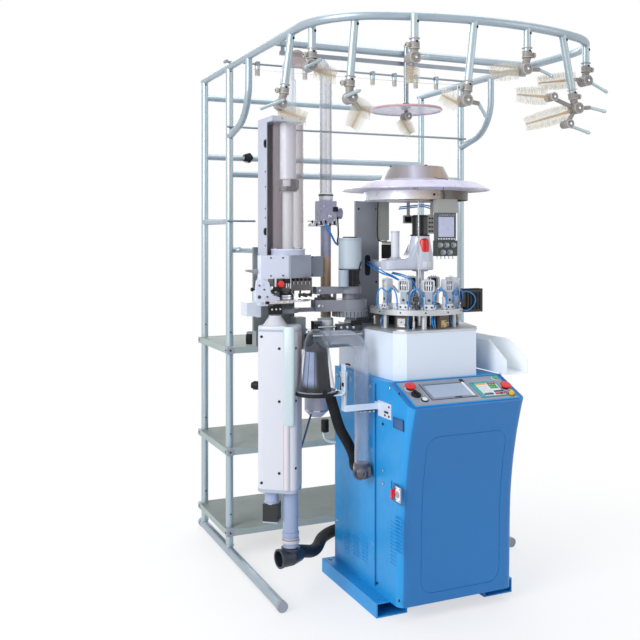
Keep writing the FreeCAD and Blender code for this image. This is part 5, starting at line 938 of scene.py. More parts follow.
# thin rods beside the dial and a sensor at the bed's front
posts, collars = Build(), Build()
posts.rod((-71, -110, BED_TOP), (-71, -110, 1591), 3.0, 12)
posts.rod((-34, -60, 1254), (-34, -60, 1306.4), 2.4, 10)
collars.turned((-71, -110, BED_TOP - 0.4), Z, ((0, 8), (10, 8), (11, 5), (18, 5)), 16)
collars.turned((-109, -160, 1153), Z, stud(5, 34), 12)
collars.turned((-109, -152, 1197), -Y, ((0, 13), (10, 13), (10, 9), (12, 8)), 20)
posts.done("head_posts", "bright_steel", "bed_steel")
collars.done("head_collars", "dark_steel", "black_plastic", 0.3)

# dial casting: a boot-shaped arm that runs up into the tower, with the red cap on its front
flange, knobs, plates, casting, cap = (Build() for _ in range(5))
casting.turned((0, 0, 1306), Z, ((0, 52), (3, 55.5), (40, 56), (66, 54), (76, 51), (100, 46.5), (132, 41),
                                         (140, 38)), 40)
# the boot's sections towards the tower: x, half width, top
BOOT = ((-172, 20, 1338), (-169, 29, 1345), (-160, 35, 1350), (-140, 37.5, 1352), (-92, 38, 1353),
        (-72, 40, 1358), (-58, 42, 1370), (-48, 43, 1386), (-40, 42, 1404), (-32, 38, 1424),
        (-22, 32, 1436))
BOOT_LOW = 1306
rows = []
for x, half, top in BOOT:
    outline = rounded(half * 2, top - BOOT_LOW, 11)
    rows.append([Vector((x, a, (BOOT_LOW + top) / 2 + b)) for a, b in outline])
casting.solid(rows)
casting.box(-146, -104, 20, 176, 1317, 1339)
casting.turned((-125, 166, 1312), Z, ((0, 16), (1, 18), (32, 18), (33, 16)), 24)
cap.turned((-1, -31, 1380), Z, ((0, 21.5), (2, 23.5), (40, 23.2), (50, 20), (56, 12), (57, 4)), 30)
casting.done("dial_casting", "casting_enamel", "casting_white", 1.2, ["dial_head"], body="dial_carrier")
cap.done("dial_cap", "red_plastic", "estop_red", 0.4, body="dial_carrier")
flange.turned((0, 0, 1445.6), Z, ((0, 39.4), (1, 40.4), (5, 40.4), (6, 38)), 36)
flange.turned((0, 0, 1528.6), Z, stud(24, 3, 3.6, 21), 28)
flange.turned((0, 0, 1524), Z, stud(33.6, 5, 6, 31), 32)
for a in (45, 135, 225, 315):
    flange.turned(polar(25, a, 1529), Z, stud(4, 3, 3.6, 2.6), 10)
knobs.turned((-116, 0, 1351.6), Z, ((0, 21), (1, 22), (8, 22), (9, 19)), 28)
knobs.turned((-116, 0, 1459), Z, stud(18.4, 5, 6, 16), 26)
knobs.turned((0, 0, 1300), Z, ((0, 30), (2, 34), (6.4, 34)), 36)
knobs.turned((0, 0, 1230), Z, ((0, 20), (16, 20), (18, 16), (70, 16)), 28)
for x, y in ((-150, -20), (-132, -28), (-110, -30)):
    knobs.turned((x, y, 1351.6), Z, stud(6, 3, 4, 4), 14)
for degrees in (262, 285):
    plates.box(53, 57, -9, 9, 1317, 1341, turned_by(degrees), HEAD)
flange.done("motor_rims", "black_plastic", "cylinder_steel", 0.3, body="dial_carrier")
knobs.done("lift_caps", "pale_grey", "casting_white", 0.3, body="dial_carrier")
plates.done("casting_plates", "white_plastic", "casting_white", 0.6, body="dial_carrier")

# ---- yarn tension unit, column and what hangs behind the head ----
DISC_PAIR = ((0, 10.4), (2, 10.4), (3, 7), (9, 6.4), (10, 8.6), (13, 8.6), (14, 7))
hood, dark_frame, plate, green, silver, white = (Build() for _ in range(6))
hood.plate([(-52, -190, 1536), (-52, -220, 1536), (-52, -222, 1542), (-52, -214, 1590), (-52, -190, 1590)],
           (96, 0, 0))
dark_frame.box(-49, 37, -211, -190, 1428, 1537)
for x in (-49, 33):
    dark_frame.box(x, x + 4, -216, -210, 1430, 1537)
plate.box(-43, 29, -215, -210.6, 1442, 1520)
green.box(-53, 41, -220, -190, 1367, 1428)
for i in range(7):
    silver.wire([(-40 + 11 * i, -214, 1536), (-36 + 11 * i, -217, 1529), (-40 + 11 * i, -214, 1522),
                 (-44 + 11 * i, -217, 1529)], 1.1, 6, 4, closed=True)
    white.turned((-42 + 12 * i, -211, 1434), -Y, stud(3.2, 6, 7, 2.0), 10)
for x, z in ((-40, 1410), (-12, 1410), (20, 1410), (-27, 1382), (3, 1382)):
    silver.turned((x, -219.6, z), -Y, DISC_PAIR, 20)
for x in (-44, -26, -8, 10, 28):
    white.turned((x, -205, 1367.5), -Z, ((0, 2.4), (8, 2.4), (9, 3.6), (12, 3.0)), 10)
hood.done("tension_hood", "olive_grey", "unit_white", 0.8, ["tension_unit"])
dark_frame.done("tension_frame", "dark_grey_plastic", "unit_white", 0.5)
plate.done("tension_plate", "lilac_plate", "unit_white", 0.6)
green.done("tension_block", "dark_green", "unit_white", 1.0)
silver.done("tension_discs", "rod_steel", "bed_steel")
white.done("tension_dots", "white_plastic", "feeder_white")

plugs, slot, back = Build(), Build(), Build()
for low in (1215.6, 1330.0, 1470.4):
    plugs.box(-166, -141, 176.4, 191.4, low - 1, low + 71)
slot.plate([(-153.5 + a, 175.4, 1321 + b) for a, b in rounded(26, 88, 12.5)], (0, 2, 0))
for x, z in product((-196, -112), (1560, 1250)):
    slot.turned((x, 176.5, z), -Y, stud(4.4, 2.5, 3.2, 2.8), 12)
back.boxes((-120, -66, 146, 158, 1427, 1590), (-44, -6, 56, 66, 1498, 1532),
           (73, 114, 56, 66, 1455, 1536), (-26, -14, 58, 66, 1530, 1591), (88, 100, 58, 66, 1534, 1591))
for z in (1466, 1484, 1502, 1520):
    for x in (80, 92, 104):
        slot.turned((x, 56.5, z), -Y, stud(4.0, 3), 10)
slot.wire([(-120, 144, 1586), (-123, 144, 1520), (-123, 144, 1440), (-110, 144, 1424), (-78, 144, 1424)],
          2.6, 8, 6)
slot.boxes((-101, -58, 124, 150, 1350, 1410), (-40, -10, 50, 57, 1504, 1526))
back.box(-100, -60, 130, 148, 1412, 1422)
plugs.done("column_plugs", "column_grey", "panel_grey")
slot.done("column_slot", "black_plastic", bevel=0.4)
back.done("head_brackets", "olive_grey", "panel_grey", 0.6)

# dark split line down the front of the hat and band, the hat's clips and rim
split, clips, lip = Build(), Build(), Build()
split.wire([(-19, -215.2, 1590), (-15, -216.2, 1604), (-20, -217.2, 1618), (-25, -222, 1632),
            (-18, -235, 1648), (-21, -270, 1640), (-20, -301, 1635)], 1.9, 8, 6)
split.wire([(-20, -246, 1664.5), (-17, -216, 1669.8), (-20, -170, 1674), (-19, -144, 1680)], 1.9, 8, 6)
for degrees in (-2, 88, 178, 262):
    place = polar(112, degrees, 1728, HAT)
    clips.turned(place - Z * 0.6, Z, stud(5, 3, 4, 3.4), 14)
clips.turned(HAT + Z * 1727.6, Z, ((0, 13), (4, 13), (5, 8), (8, 7)), 18)
clips.turned((-62, -214, 1607), -Y, stud(4.6, 3, 4, 3.2), 14)
lip.tube(HAT + Z * 1630.8, Z, 303.5, 300.5, 3.2, 96)
lip.tube(HAT + Z * 1672.4, Z, 144.5, 141.8, 2.2, 64)
split.done("hat_split", "dark_grey_plastic", "clear_dish")
clips.done("hat_clips", "black_plastic")
lip.done("hat_lips", "hat_plastic", "clear_dish")

# ---- toe unit: body, corner cover, strips, screws, motor trim ----
TOE = turned_by(-36)
TOE_AT = Vector((-611, 25, 0))


def toe(a, b, z):
    return TOE_AT + TOE @ Vector((a, b, z))


def toe_rows(middle, half, corner, levels):
    """Upright form on the toe unit: (height, inset) rows round a middle in its own plan."""
    rows = []
    for z, cut in levels:
        outline = rounded((half[0] - cut) * 2, (half[1] - cut) * 2, corner - cut, 6)
        rows.append([toe(middle[0] + p, middle[1] + q, z) for p, q in outline])
    return rows


body, cover, strip, panel, black, lilac = (Build() for _ in range(6))
body.solid(toe_rows((0, 0), (78, 55), 26, ((476, 0), (1090, 0), (1098, 1.5), (1101, 5))))
body.turned(toe(-19, 0, 1100), Z, ((0, 47), (2, 46), (30, 26), (35, 23)), 32)
body.tube(toe(-19, 0, 1133), Z, 24, 19, 5, 32)
lilac.solid(toe_rows((0, 0), (79.2, 56.2), 27, ((462, 3), (464, 0), (474, 0), (477, 1))))
lilac.solid(toe_rows((0, 0), (79, 56), 27, ((1079, 1), (1080, 0), (1087, 0), (1088, 1))))
corner_levels = ((722, 8), (724, 5), (729, 2), (738, 0), (1094, 0), (1100, 3), (1101, 6))
cover.solid(toe_rows((51, -54), (23, 15), 12, corner_levels))
strip.rod(toe(42, -54, 477), toe(42, -54, 726), 11.5, 20)
strip.box(24, 30, -56.8, -50, 477, 724, TOE, TOE_AT)


def corner_arc(radius):
    """The bend round the toe unit's corner, then straight back along its side, as seen from above."""
    arc = [Vector((48, -25, 0)) + outward(a) * radius for a in range(-52, 1, 8)]
    return arc + [Vector((48 + radius, 36, 0))]


panel.plate([toe(p.x, p.y, 479) for p in corner_arc(31) + corner_arc(28)[::-1]], (0, 0, 598))
for a, b, z in ((12, -54.6, 1016), (12, -54.6, 814), (12, -54.6, 540), (-58, -54.6, 1060),
                (-58, -54.6, 500)):
    black.turned(toe(a, b, z), TOE @ -Y, stud(5.2, 2.4, 3.6, 3.4), 14)
for z in (1018, 817, 560):
    out = TOE @ Vector((0.82, -0.57, 0))
    black.turned(toe(48, -25, z) + out * 30, out, stud(5, 2.4, 3.4, 3.2), 14)
black.turned(toe(-77, 4, 862), TOE @ -X, ((0, 13), (10, 13), (11, 17), (30, 17), (31, 12), (38, 12)), 20)
black.turned(toe(-19, 0, 1131), Z, stud(18.6, 3), 24)
lilac.box(-62, -2, -27, 27, 338, 344.6, TOE, TOE_AT)
for a, b in product((-57, -7), (-24, 24)):
    lilac.rod(toe(a, b, 336), toe(a, b, 346), 3.4, 10)
lilac.turned(toe(-32, 0, 455), Z, stud(36, 12), 32)
lilac.turned(toe(-32, 0, 409), Z, stud(30, 7, 8, 27.4), 32)
body.done("toe_shell", "toe_white", "enclosure_white", 0, ["toe_box"])
cover.done("toe_corner_cover", "corner_cover", "enclosure_white")
strip.done("toe_strip", "strip_white", "enclosure_white", 0.8)
panel.done("toe_side_panel", "strip_beige", "enclosure_white")
black.done("toe_screws", "black_plastic")
lilac.done("toe_lips", "blue_grey", "enclosure_white", 0.6)

collar, mouth, thin = Build(), Build(), Build()
collar.tube(DRAIN + Z * 262, Z, 34.6, 29, 11, 36)
collar.tube(DRAIN + Z * 278, Z, 33.8, 29, 3, 36)
elbow, elbow_way = DRAIN + Z * 205, Vector((-0.987, -0.16, 0))
mouth.tube(elbow + elbow_way * 44, elbow_way, 37.2, 30, 9, 32)
mouth.turned(elbow + elbow_way * 20, elbow_way, stud(30, 4), 28)
mouth.tube(DRAIN + Z * 234, Z, 36.4, 30, 8, 32)
thin.wire([(-448, 62, 770), (-465, 60, 733), (-501, 60, 624), (-536, 66, 520)], 4.2, 8, 6)
collar.done("pipe_band", "strip_beige", "pipe_grey", 0.4)
mouth.done("elbow_rims", "elbow_dark", "pipe_grey", 0.5)
thin.done("toe_air_line", "deep_blue", "air_blue")

# rims of the blower cup, bosses on the carrier
cup, boss = Build(), Build()
cup.tube(CUP + Z * 988, Z, 50.5, 46, 10, 40)
cup.tube(CUP + Z * 748, Z, 48.8, 46, 4, 40)
for a in range(0, 360, 60):
    cup.turned(polar(48, a, 975, CUP), outward(a), stud(4, 2.6, 3.4, 2.6), 10)
boss.turned((-384, 100, CARRIER_TOP), Z, ((0, 38), (4, 38), (5, 33), (44, 33), (50.4, 31), (54, 24)), 36)
boss.turned(ARM + Z * CARRIER_TOP, Z, ((0, 34), (10, 34), (11, 24), (40, 24), (41, 20), (55, 20)), 32)
for x, y in ((-340, 60), (-310, 150), (-450, 150), (-470, 60)):
    boss.turned((x, y, CARRIER_TOP), Z, stud(7, 6, 7, 5), 6)
cup.done("cup_rims", "bright_steel", "carrier_grey", 0.4)
boss.done("carrier_bosses", "pale_grey", "carrier_grey", 0.4)

blocks, steel_bits, black_bits = Build(), Build(), Build()
blocks.boxes((-360, -262, 36, 60, 1062, 1092), (-455, -420, 52, 84, 1062, 1106),
             (-500, -470, 26, 41, 1010, 1058))
steel_bits.rod((-470, 34, 1050), (-250, 34, 1050), 5, 12)
steel_bits.rod((-440, 46, 1082), (-262, 46, 1082), 4, 12)
for x in (-345, -318, -290):
    steel_bits.turned((x, 35.5, 1078), -Y, stud(6, 4, 5, 4), 6)
for x in (-452, -436):
    black_bits.turned((x, 51.5, 1090), -Y, stud(5, 6, 7, 3), 12)
black_bits.box(-300, -258, 20, 36, 1086, 1104)
black_bits.turned((-404, 40, 1036), -Y, ((0, 13), (8, 13), (9, 10), (14, 10)), 20)
blocks.done("carrier_blocks", "dark_steel", "carrier_grey", 1.0)
steel_bits.done("carrier_rods", "bright_steel", "bed_steel")
black_bits.done("carrier_knobs", "black_plastic", bevel=0.5)

# ---- suction filter and its bracket ----
rim, seal, smoke, cable, sleeve, sleeve_lines = (Build() for _ in range(6))
rim.turned(JAR + Z * 836, Z, ((0, 80), (1.5, 82.5), (9, 82.5), (12, 80), (13, 78.5)), 56)
rim.boxes((-502, -488, -152, -138, 838, 862), (-502, -488, 18, 32, 838, 862))
seal.tube(JAR + Z * 850, Z, 79.6, 75, 5, 56)
seal.tube((-452, -60, 1052), X, 31.5, 27, 9, 32)
sleeve.turned(JAR + Z * 850, Z, ((0, 57), (154, 41.4), (155, 38)), 48)
sleeve_lines.tube(JAR + Z * 1004, Z, 42.6, 36, 8, 40)
sleeve_lines.turned(JAR + Z * 1010, Z, ((0, 38), (4, 38), (14, 20), (26, 8), (30, 8)), 32)
for i in range(12):
    a = 30 * i
    low, high = polar(57.0, a, 856, JAR), polar(41.8, a, 1003, JAR)
    sleeve_lines.rod(low, high, 1.0, 6)
DUCT_FOOT = Vector((-300, -60, 532))
smoke.tube(DUCT_FOOT - Z * 30, Z, 31.5, 26, 52, 36)
for row in ((-0.62, -0.78), (0.9, -0.3)):
    way = Vector((row[0], row[1], 0)).normalized()
    smoke.tube(DUCT_FOOT - Z * 12 + way * 20, way, 27, 20, 14, 32)
    smoke.turned(DUCT_FOOT - Z * 12 + way * 18, way, stud(21, 6, 8, 12), 24)
smoke.turned(DUCT_FOOT - Z * 40, Z, ((0, 20), (5, 29), (12, 31)), 32)
cable.wire([(-300, 300, 604), (-302, 300, 588), (-292, 296, 566), (-270, 290, 556), (-252, 280, 556)], 5.0,
           10, 6)
rim.turned((-296, 300, 600), Z, ((0, 14), (3, 17), (52, 17), (56, 12)), 20)
rim.done("jar_base_rim", "black_plastic", "filter_dark", 0.5)
seal.done("jar_seal", "clear_rim", "clear_tube")
sleeve.done("filter_sleeve", "sleeve_mesh", "filter_dark")
sleeve_lines.done("filter_ribs", "filter_mesh", "filter_dark")
smoke.done("duct_elbow", "smoke_plastic", "clear_tube", 0.4)
cable.done("rear_cable", "white_plastic", "tube_white")

shelf_bar, plate_bar, silver_cup, dark_clip = Build(), Build(), Build(), Build()
shelf_bar.boxes((-402, -255, -130, -97, 775, 779), (-402, -255, -131, -128, 775, 799),
                (-402, -255, -100, -97, 775, 790), (-406, -401, -130, -97, 775, 955),
                (-404, -399, -130, -127, 799, 930), (-414, -402, -130, -72, 838, 850),
                (-495, -402, -130, -118, 838, 842))
plate_bar.boxes((-259, -254.6, -225, -120, 748, 808), (-262, -255, -150, -97, 770, 800))
for y, z in ((-212, 760), (-212, 796), (-180, 760)):
    dark_clip.turned((-258.8, y, z), -X, stud(4.4, 2.4, 3.2, 3), 12)
dark_clip.box(-263, -258.5, -206, -178, 770, 776)
cup_profile = ((0, 8), (66, 8), (67, 17), (68, 18), (134, 18), (136, 16), (136.4, 10))
silver_cup.turned((-375, -60, 779), Z, cup_profile, 28)
silver_cup.rod((-404, -76, 903), (-375, -60, 903), 4, 10)
for x in (-330, -310, -290, -272):
    silver_cup.turned((x, -112, 762), Z, stud(4, 14), 10)
dark_clip.wire([(-402, -110, 944), (-396, -112, 952), (-384, -112, 954), (-374, -110, 948)], 3.0, 8, 5)
dark_clip.boxes((-340, -262, -118, -106, 768, 775), (-408, -399, -122, -106, 870, 884))
shelf_bar.done("bracket_bars", "bracket_white", "enclosure_white", 0.8, ["side_bracket"])
plate_bar.done("bracket_plate", "casing_lilac", "enclosure_white", 1.2)
silver_cup.done("bracket_cup", "bright_steel", "bright_rod", 0.3)
dark_clip.done("bracket_clips", "black_plastic")

# suction hose: from the filter's foot round to the port in the cabinet's side
HOSE_ROUTE = ((-439, -60, 838), (-432, -60, 814), (-413, -50, 766), (-375, -20, 687), (-318, 30, 617),
              (-276, 70, 560), (-257, 90, 516))
HOSE_R, RING_PITCH = 20.0, 5.6
RIB = ((0, HOSE_R - 0.6), (0.6, HOSE_R + 1), (2.4, HOSE_R + 1), (3.0, HOSE_R - 0.6))
hose, hose_rings = Build(), Build()
hose.wire(HOSE_ROUTE, HOSE_R, 28, 10)
line = smooth_line([Vector(p) for p in HOSE_ROUTE], 40)
travelled = last = 0.0
for a, b in zip(line[:-1], line[1:]):
    travelled += (b - a).length
    if travelled - last >= RING_PITCH:
        way = (b - a).normalized()
        hose_rings.turned(b - way * 1.5, way, RIB, 24)
        last = travelled
hose.done("suction_hose_run", "rubber", "hose_black", 0, ["suction_hose"])
hose_rings.done("suction_hose_rings", "rubber", "hose_black")

# ---- cabinet: door seam, screws, port, lock, switch pocket, vents ----
seams, screws, dark_bits, recess, plate_white, lever_bits = (Build() for _ in range(6))
seams.box(FLANK - 0.6, FLANK + 1.5, -99.4, -97.0, 75, 868)
for z in (600, 225):
    seams.box(FLANK - 0.6, FLANK + 1.5, -66, -62, z, z + 2)
for y, z in ((-159, 542), (-159, 493), (-67, 231), (258, 224), (-67, 602), (-214, 868), (258, 850),
             (120, 850), (-60, 850)):
    screws.turned((FLANK + 0.4, y, z), -X, stud(6.2, 1.4, 3.0, 4.2), 18)
    dark_bits.turned((FLANK - 2.2, y, z), -X, stud(2.4, 1.0), 6)
for y, z in ((-159, 722), (-290, 860), (-290, 92), (-110, 92)):
    dark_bits.turned((FLANK + 0.4, y, z), -X, stud(5.2, 2.2, 3.0, 3.6), 16)


def side_outline(y0, y1, z0, z1, corner, x):
    """A rounded rectangle on the cabinet's side, at one x."""
    outline = rounded(y1 - y0, z1 - z0, corner, 6)
    return [Vector((x, (y0 + y1) / 2 + a, (z0 + z1) / 2 + b)) for a, b in outline]


# oval cable port with its rim and cable ends
dark_bits.solid([side_outline(50, 137, 478, 540, 30, FLANK + 1),
                 side_outline(50, 137, 478, 540, 30, FLANK - 0.8)])
seams.solid([side_outline(47 - c, 140 + c, 475 - c, 543 + c, 33 + c, x) for x, c in
             ((FLANK + 1, 0), (FLANK - 2.2, 0), (FLANK - 2.2, -4), (FLANK + 1, -4))], closed=True)
for y, z in ((70, 520), (92, 500), (112, 516)):
    dark_bits.turned((FLANK + 2, y, z), -X, stud(8, 8, 9, 6), 16)
# lock recess and the pocket of the main switch, both painted darker blue as painted shade
recess.boxes((FLANK - 0.8, FLANK + 1, -317, -247, 729, 763),
             (FLANK - 1.2, FLANK + 1, -317, -290, 729, 763))
for y0, y1, z0, z1 in ((-320, -244, 726, 729), (-320, -244, 763, 766), (-320, -317, 726, 766),
                       (-247, -244, 726, 766)):
    seams.box(FLANK - 1.6, FLANK + 1, y0, y1, z0, z1)
recess.box(FLANK - 0.8, FLANK + 1, -312, -240, 449, 516)
plate_white.box(FLANK - 3.0, FLANK - 0.5, -301, -266, 456, 511)
for y, z in product((-296, -271), (462, 505)):
    dark_bits.turned((FLANK - 2.8, y, z), -X, stud(2.2, 1.2), 10)
lever_bits.turned((FLANK - 2.8, -284, 484), -X, stud(12, 3, 4, 9), 24)
# pressed louvres low on the side and on its front strip
louvres = Build()
for column, high in ((178, 206), (150, 210), (92, 228), (62, 230), (8, 244), (-24, 244)):
    for i in range(8):
        z = high - 12.5 * i
        louvres.solid([side_outline(column - 11 - c, column + 11 + c, z - 2 - c, z + 2 + c, 1.6 + c, x)
                       for x, c in ((FLANK + 1, 0.6), (FLANK - 2.6, -0.8))])
for i in range(10):
    z = 392 - 13.5 * i
    louvres.solid([side_outline(-310 - c, -256 + c, z - 2.4 - c, z + 2.4 + c, 2.2 + c, x)
                   for x, c in ((FLANK + 1, 0.6), (FLANK - 3.0, -1.0))])
louvres.done("cabinet_louvres", "blue_paint", "cabinet_blue")
seams.done("cabinet_seams", "deep_blue", "cabinet_blue")
screws.done("cabinet_screws", "bright_steel", "bright_rod")
dark_bits.done("cabinet_openings", "black_plastic")
recess.done("cabinet_recesses", "recess_blue_painted_shade", "cabinet_blue")
plate_white.done("switch_plate", "white_plastic", "stop_white", 0.6)
lever_bits.done("switch_collar", "grey_plastic", "panel_grey")

# ---- control panel: bezels, keys, collars, rim ----
KEY_TOP = 7.0
TILT = Matrix(((1, 0, 0), (0, 0.921, -0.389), (0, 0.389, 0.921)))
PANEL_AT = Vector((0, -375, 813))
ESTOPS = (("left", -196, 128), ("right", 207, 84))
# a thin stem through the collar, the neck and the mushroom cap
MUSHROOM = ((-4, 4.6), (13, 4.6), (13.2, 11), (14.5, 11), (15, 18), (17, 21.5), (22, 22), (25, 19),
            (26, 11))


def on_panel(x, v, n=0.0):
    return PANEL_AT + TILT @ Vector((x, v, n))


def slab(build, x0, x1, v0, v1, n0, n1):
    build.box(x0, x1, v0, v1, n0, n1, TILT, PANEL_AT)


def frame_of(build, x0, x1, v0, v1, wide, n0, n1):
    slab(build, x0, x1, v0, v0 + wide, n0, n1)
    slab(build, x0, x1, v1 - wide, v1, n0, n1)
    slab(build, x0, x0 + wide, v0 + wide, v1 - wide, n0, n1)
    slab(build, x1 - wide, x1, v0 + wide, v1 - wide, n0, n1)


white, bezel, dark, teal, rim_blue, collars, corner_screws = (Build() for _ in range(7))
yellow, keys_white, keys_blue, keys_green, keys_red = (Build() for _ in range(5))
frame_of(bezel, -140, 60, 48, 158, 9, 0.5, 5.6)
slab(dark, -142, 61, 45.6, 48.4, 0.5, 5)
slab(dark, -142.6, -139.6, 46, 158, 0.5, 5)
slab(white, 44, 52, 54, 152, 1, 6.8)
slab(dark, 43, 56, 148, 164, 1, 9)
slab(dark, -40, -8, 50, 54, 6.4, 7.4)
slab(teal, 72, 190, 34, 138, 0.2, KEY_TOP)
slab(keys_white, 80, 184, 40, 132, KEY_TOP - 1, KEY_TOP + 1)
slab(teal, 80, 88, 40, 132, KEY_TOP, KEY_TOP + 2)
slab(teal, 80, 184, 124, 132, KEY_TOP, KEY_TOP + 2)
slab(yellow, 90, 138, 114, 122, KEY_TOP, KEY_TOP + 2.4)


def key(build, x, v, wide=8.0, high=10.0):
    slab(build, x, x + wide, v, v + high, KEY_TOP, KEY_TOP + 4)


for i in range(4):
    for j in range(4):
        key(keys_white, 91 + 10.5 * i, 57 + 14 * j)
    key(keys_blue, 91 + 10.5 * i, 44, high=9.0)
    key(keys_blue, 142 + 10.5 * i, 58, high=9.0)
for i in range(3):
    for j in range(2):
        key(keys_green, 142 + 12 * i, 84 + 14 * j, 9.5)
for x, v in ((144, 112), (157, 112), (170, 112), (140, 43), (151, 43), (172, 43)):
    key(keys_red, x, v, 9.5, 9.0)
key(dark, 162, 43, high=9.0)
for _, x, v in ESTOPS:
    for low, high, outer in ((0, 3, 24), (3, 5, 21), (5, 7, 18.5)):
        collars.tube(on_panel(x, v, low), TILT @ Z, outer, 6.0, high - low, 36)
    dark.tube(on_panel(x, v, 6.6), TILT @ Z, 14.5, 6.0, 1.2, 24)
dark.turned(on_panel(-172, 52, 0), TILT @ Z, stud(14.6, 5, 6.4, 12), 28)
dark.turned(on_panel(209, 40, 0), TILT @ Z, stud(15, 4, 5, 12), 28)
knob = Build()
knob.turned(on_panel(-190, 88, 2), TILT @ Z, ((0, 18), (1, 19.5), (8, 19.5), (10, 16)), 32)
slab(knob, -194, -186, 70, 106, 10, 17)
for side, x, v in ESTOPS:
    mushroom = Build()
    mushroom.turned(on_panel(x, v, 0), TILT @ Z, MUSHROOM, 40)
    node = "estop_" + side
    mushroom.done(node + "_cap", "red_plastic", "estop_red", 0.3, [node], side + "_stop")
knob.done("selector_grip", "black_plastic", "knob_black", 0.8, body="selector")
collars.turned(on_panel(206, 158, 0), TILT @ Z, stud(14, 4.4, 6, 11.4), 28)
for x, v in ((-220, 28), (-220, 170), (220, 28), (220, 130), (0, 28), (0, 170)):
    corner_screws.turned(on_panel(x, v, 0.4), TILT @ Z, stud(4.0, 1.4, 2.4, 2.6), 14)
slab(rim_blue, -232, 232, 178.5, 184, -2, 8)
for x in (-232, 228.4):
    slab(rim_blue, x, x + 3.6, 16, 184, -2, 6)
rim_blue.rod(on_panel(-232, 17, 1), on_panel(232, 17, 1), 3.4, 14)
white.done("screen_strip", "white_plastic", "panel_grey", 0.6)
bezel.done("screen_bezel", "bezel_grey", "panel_grey", 0.8)
dark.done("panel_black", "black_plastic", bevel=0.5)
teal.done("keypad_frame", "teal_plastic", "keys", 0.4)
yellow.done("keypad_yellow", "yellow_plastic", "keys", 0.3)
keys_white.done("keypad_white", "white_plastic", "keys", 0.8)
keys_blue.done("keypad_blue", "deep_blue", "keys", 0.8)
keys_green.done("keypad_green", "green_plastic", "keys", 0.8)
keys_red.done("keypad_red", "red_plastic", "keys", 0.8)
collars.done("panel_collars", "pale_grey", "panel_grey", 0.3)
corner_screws.done("panel_screws", "bright_steel", "bright_rod")
rim_blue.done("panel_rim", "blue_paint", "cover_blue", 0.8)

# ---- sewing head: nozzle, knobs, pins, cone, bars and needle gear ----
red, taupe, black, steel, white, beige, dark, cone, dial_pins = (Build() for _ in range(9))
red.turned((-612, 19, 1260), -Y, ((0, 9), (2, 12.5), (15, 12.5), (20, 10), (22, 5)), 24)
black.turned((-612, 24, 1260), -Y, stud(7, 8), 16)
taupe.turned((-688, 60, 1307), Vector((-1, 0, 0.1)), ((0, 10), (15, 10), (16, 6.5), (40, 5), (52, 3)), 16)
black.turned((-708, 40, 1240), -X, ((0, 4), (6, 4), (7, 7.5), (15, 7.5), (17, 5)), 16)
white.plate([(-712, 12, 1190), (-616, 12, 1196), (-616, 12, 1208), (-652, 12, 1226), (-660, 12, 1268),
             (-688, 12, 1280), (-712, 12, 1275), (-716, 12, 1236)], (0, 8, 0))
white.turned((-690, 12.5, 1262), -Y, stud(8, 3, 4, 5), 18)
dark.turned((-700, 12.5, 1212), -Y, stud(7, 1.4), 18)
for x, z in ((-680, 1240), (-668, 1212), (-700, 1256)):
    dark.turned((x, 12.4, z), -Y, stud(3.6, 2.4, 3.2, 2.4), 12)
beige.boxes((-683, -571, -14, -6, 1186, 1196), (-683, -668, -14, 14, 1186, 1196))
for x in (-640, -616, -592):
    steel.turned((x, -14, 1191), -Y, stud(3, 3, 4, 2), 10)
for i in range(5):
    x = -540.0 + 17 * i
    black.turned((x, 59.6, 1273), -Y, stud(5.4, 5, 7, 3.6), 14)
    steel.turned((x, 57, 1266), -Z, stud(1.8, 13), 8)
# needle bar and presser parts beside the red knob
for x, y, low, high, r in ((-634, 13, 1212, 1282, 5.0), (-588, 14, 1244, 1282, 3.2),
                           (-580, 12, 1248, 1282, 2.4)):
    steel.rod((x, y, low), (x, y, high), r, 14)
black.boxes((-598, -574, 6, 20, 1262, 1280), (-643, -624, 3, 20, 1232, 1250))
dark.box(-642, -620, 5, 18, 1216, 1229)
black.box(-572, -560, 30, 50, 1246, 1282)
steel.rod((-566, 29, 1240), (-566, 29, 1282), 4, 14)
dark.box(-640, -600, 18, 26, 1264, 1281)
steel.turned((-652, 12, 1246), -Y, stud(7, 5, 6, 5), 20)
black.boxes((-655, -602, 22, 40, 1143, 1178), (-655, -642, 22, 40, 1176, 1188))
for x in (-645, -628, -611):
    steel.turned((x, 22, 1162), -Y, stud(4, 3, 4, 2.6), 12)
for x, z in product((-650, -600), (1361, 1292)):
    black.turned((x, 20.2, z), -Y, stud(3.2, 2.0, 2.6, 2.0), 12)
for x, z in product((-548, -462), (1362, 1290)):
    black.turned((x, 56.8, z), -Y, stud(2.8, 5.0), 12)
cone.turned(LINKING + Z * 1205, Z, ((0, 42), (1.5, 44), (7, 43.5), (10, 38), (16, 34.5), (22, 33),
                                    (23, 30)), 40)
cone.turned(LINKING + Z * 1197, Z, ((0, 44), (8, 42)), 40)
for i in range(72):
    a = polar(102, 5.0 * i, 1193, LINKING)
    dial_pins.turned(a, (a - LINKING - Z * 1193), ((0, 1.5), (9, 1.3), (11, 0.7)), 6)
collar_beads = Build()
collar_beads.tube(COLUMN + Z * 1389, Z, 69.6, 60, 5, 56)
for a in range(20, 380, 60):
    collar_beads.turned(polar(66.8, a, 1391.6, COLUMN), Z, stud(4, 4, 5, 2.6), 12)
dark.box(-514, -456, 66, 74, 1211, 1217)
for x in (-510, -462):
    dark.box(x, x + 6, 67, 73, 1216, 1242)
for i in range(6):
    x = -513.0 + 9.6 * i
    dark.box(x, x + 6, 63, 76, 1200.5 + 3 * (i * 2 % 3), 1213 + 3 * (i % 3))
red.done("head_red_knob", "red_plastic", "enclosure_white", 0.3)
taupe.done("head_nozzle", "taupe_plastic", "enclosure_white")
black.done("head_black_parts", "black_plastic", "enclosure_white", 0.6)
steel.done("head_needle_gear", "bright_steel", "bright_rod")
white.done("head_side_plate", "casing_lilac", "enclosure_white", 0.8)
beige.done("head_beige_bar", "strip_beige", "enclosure_white", 0.6)
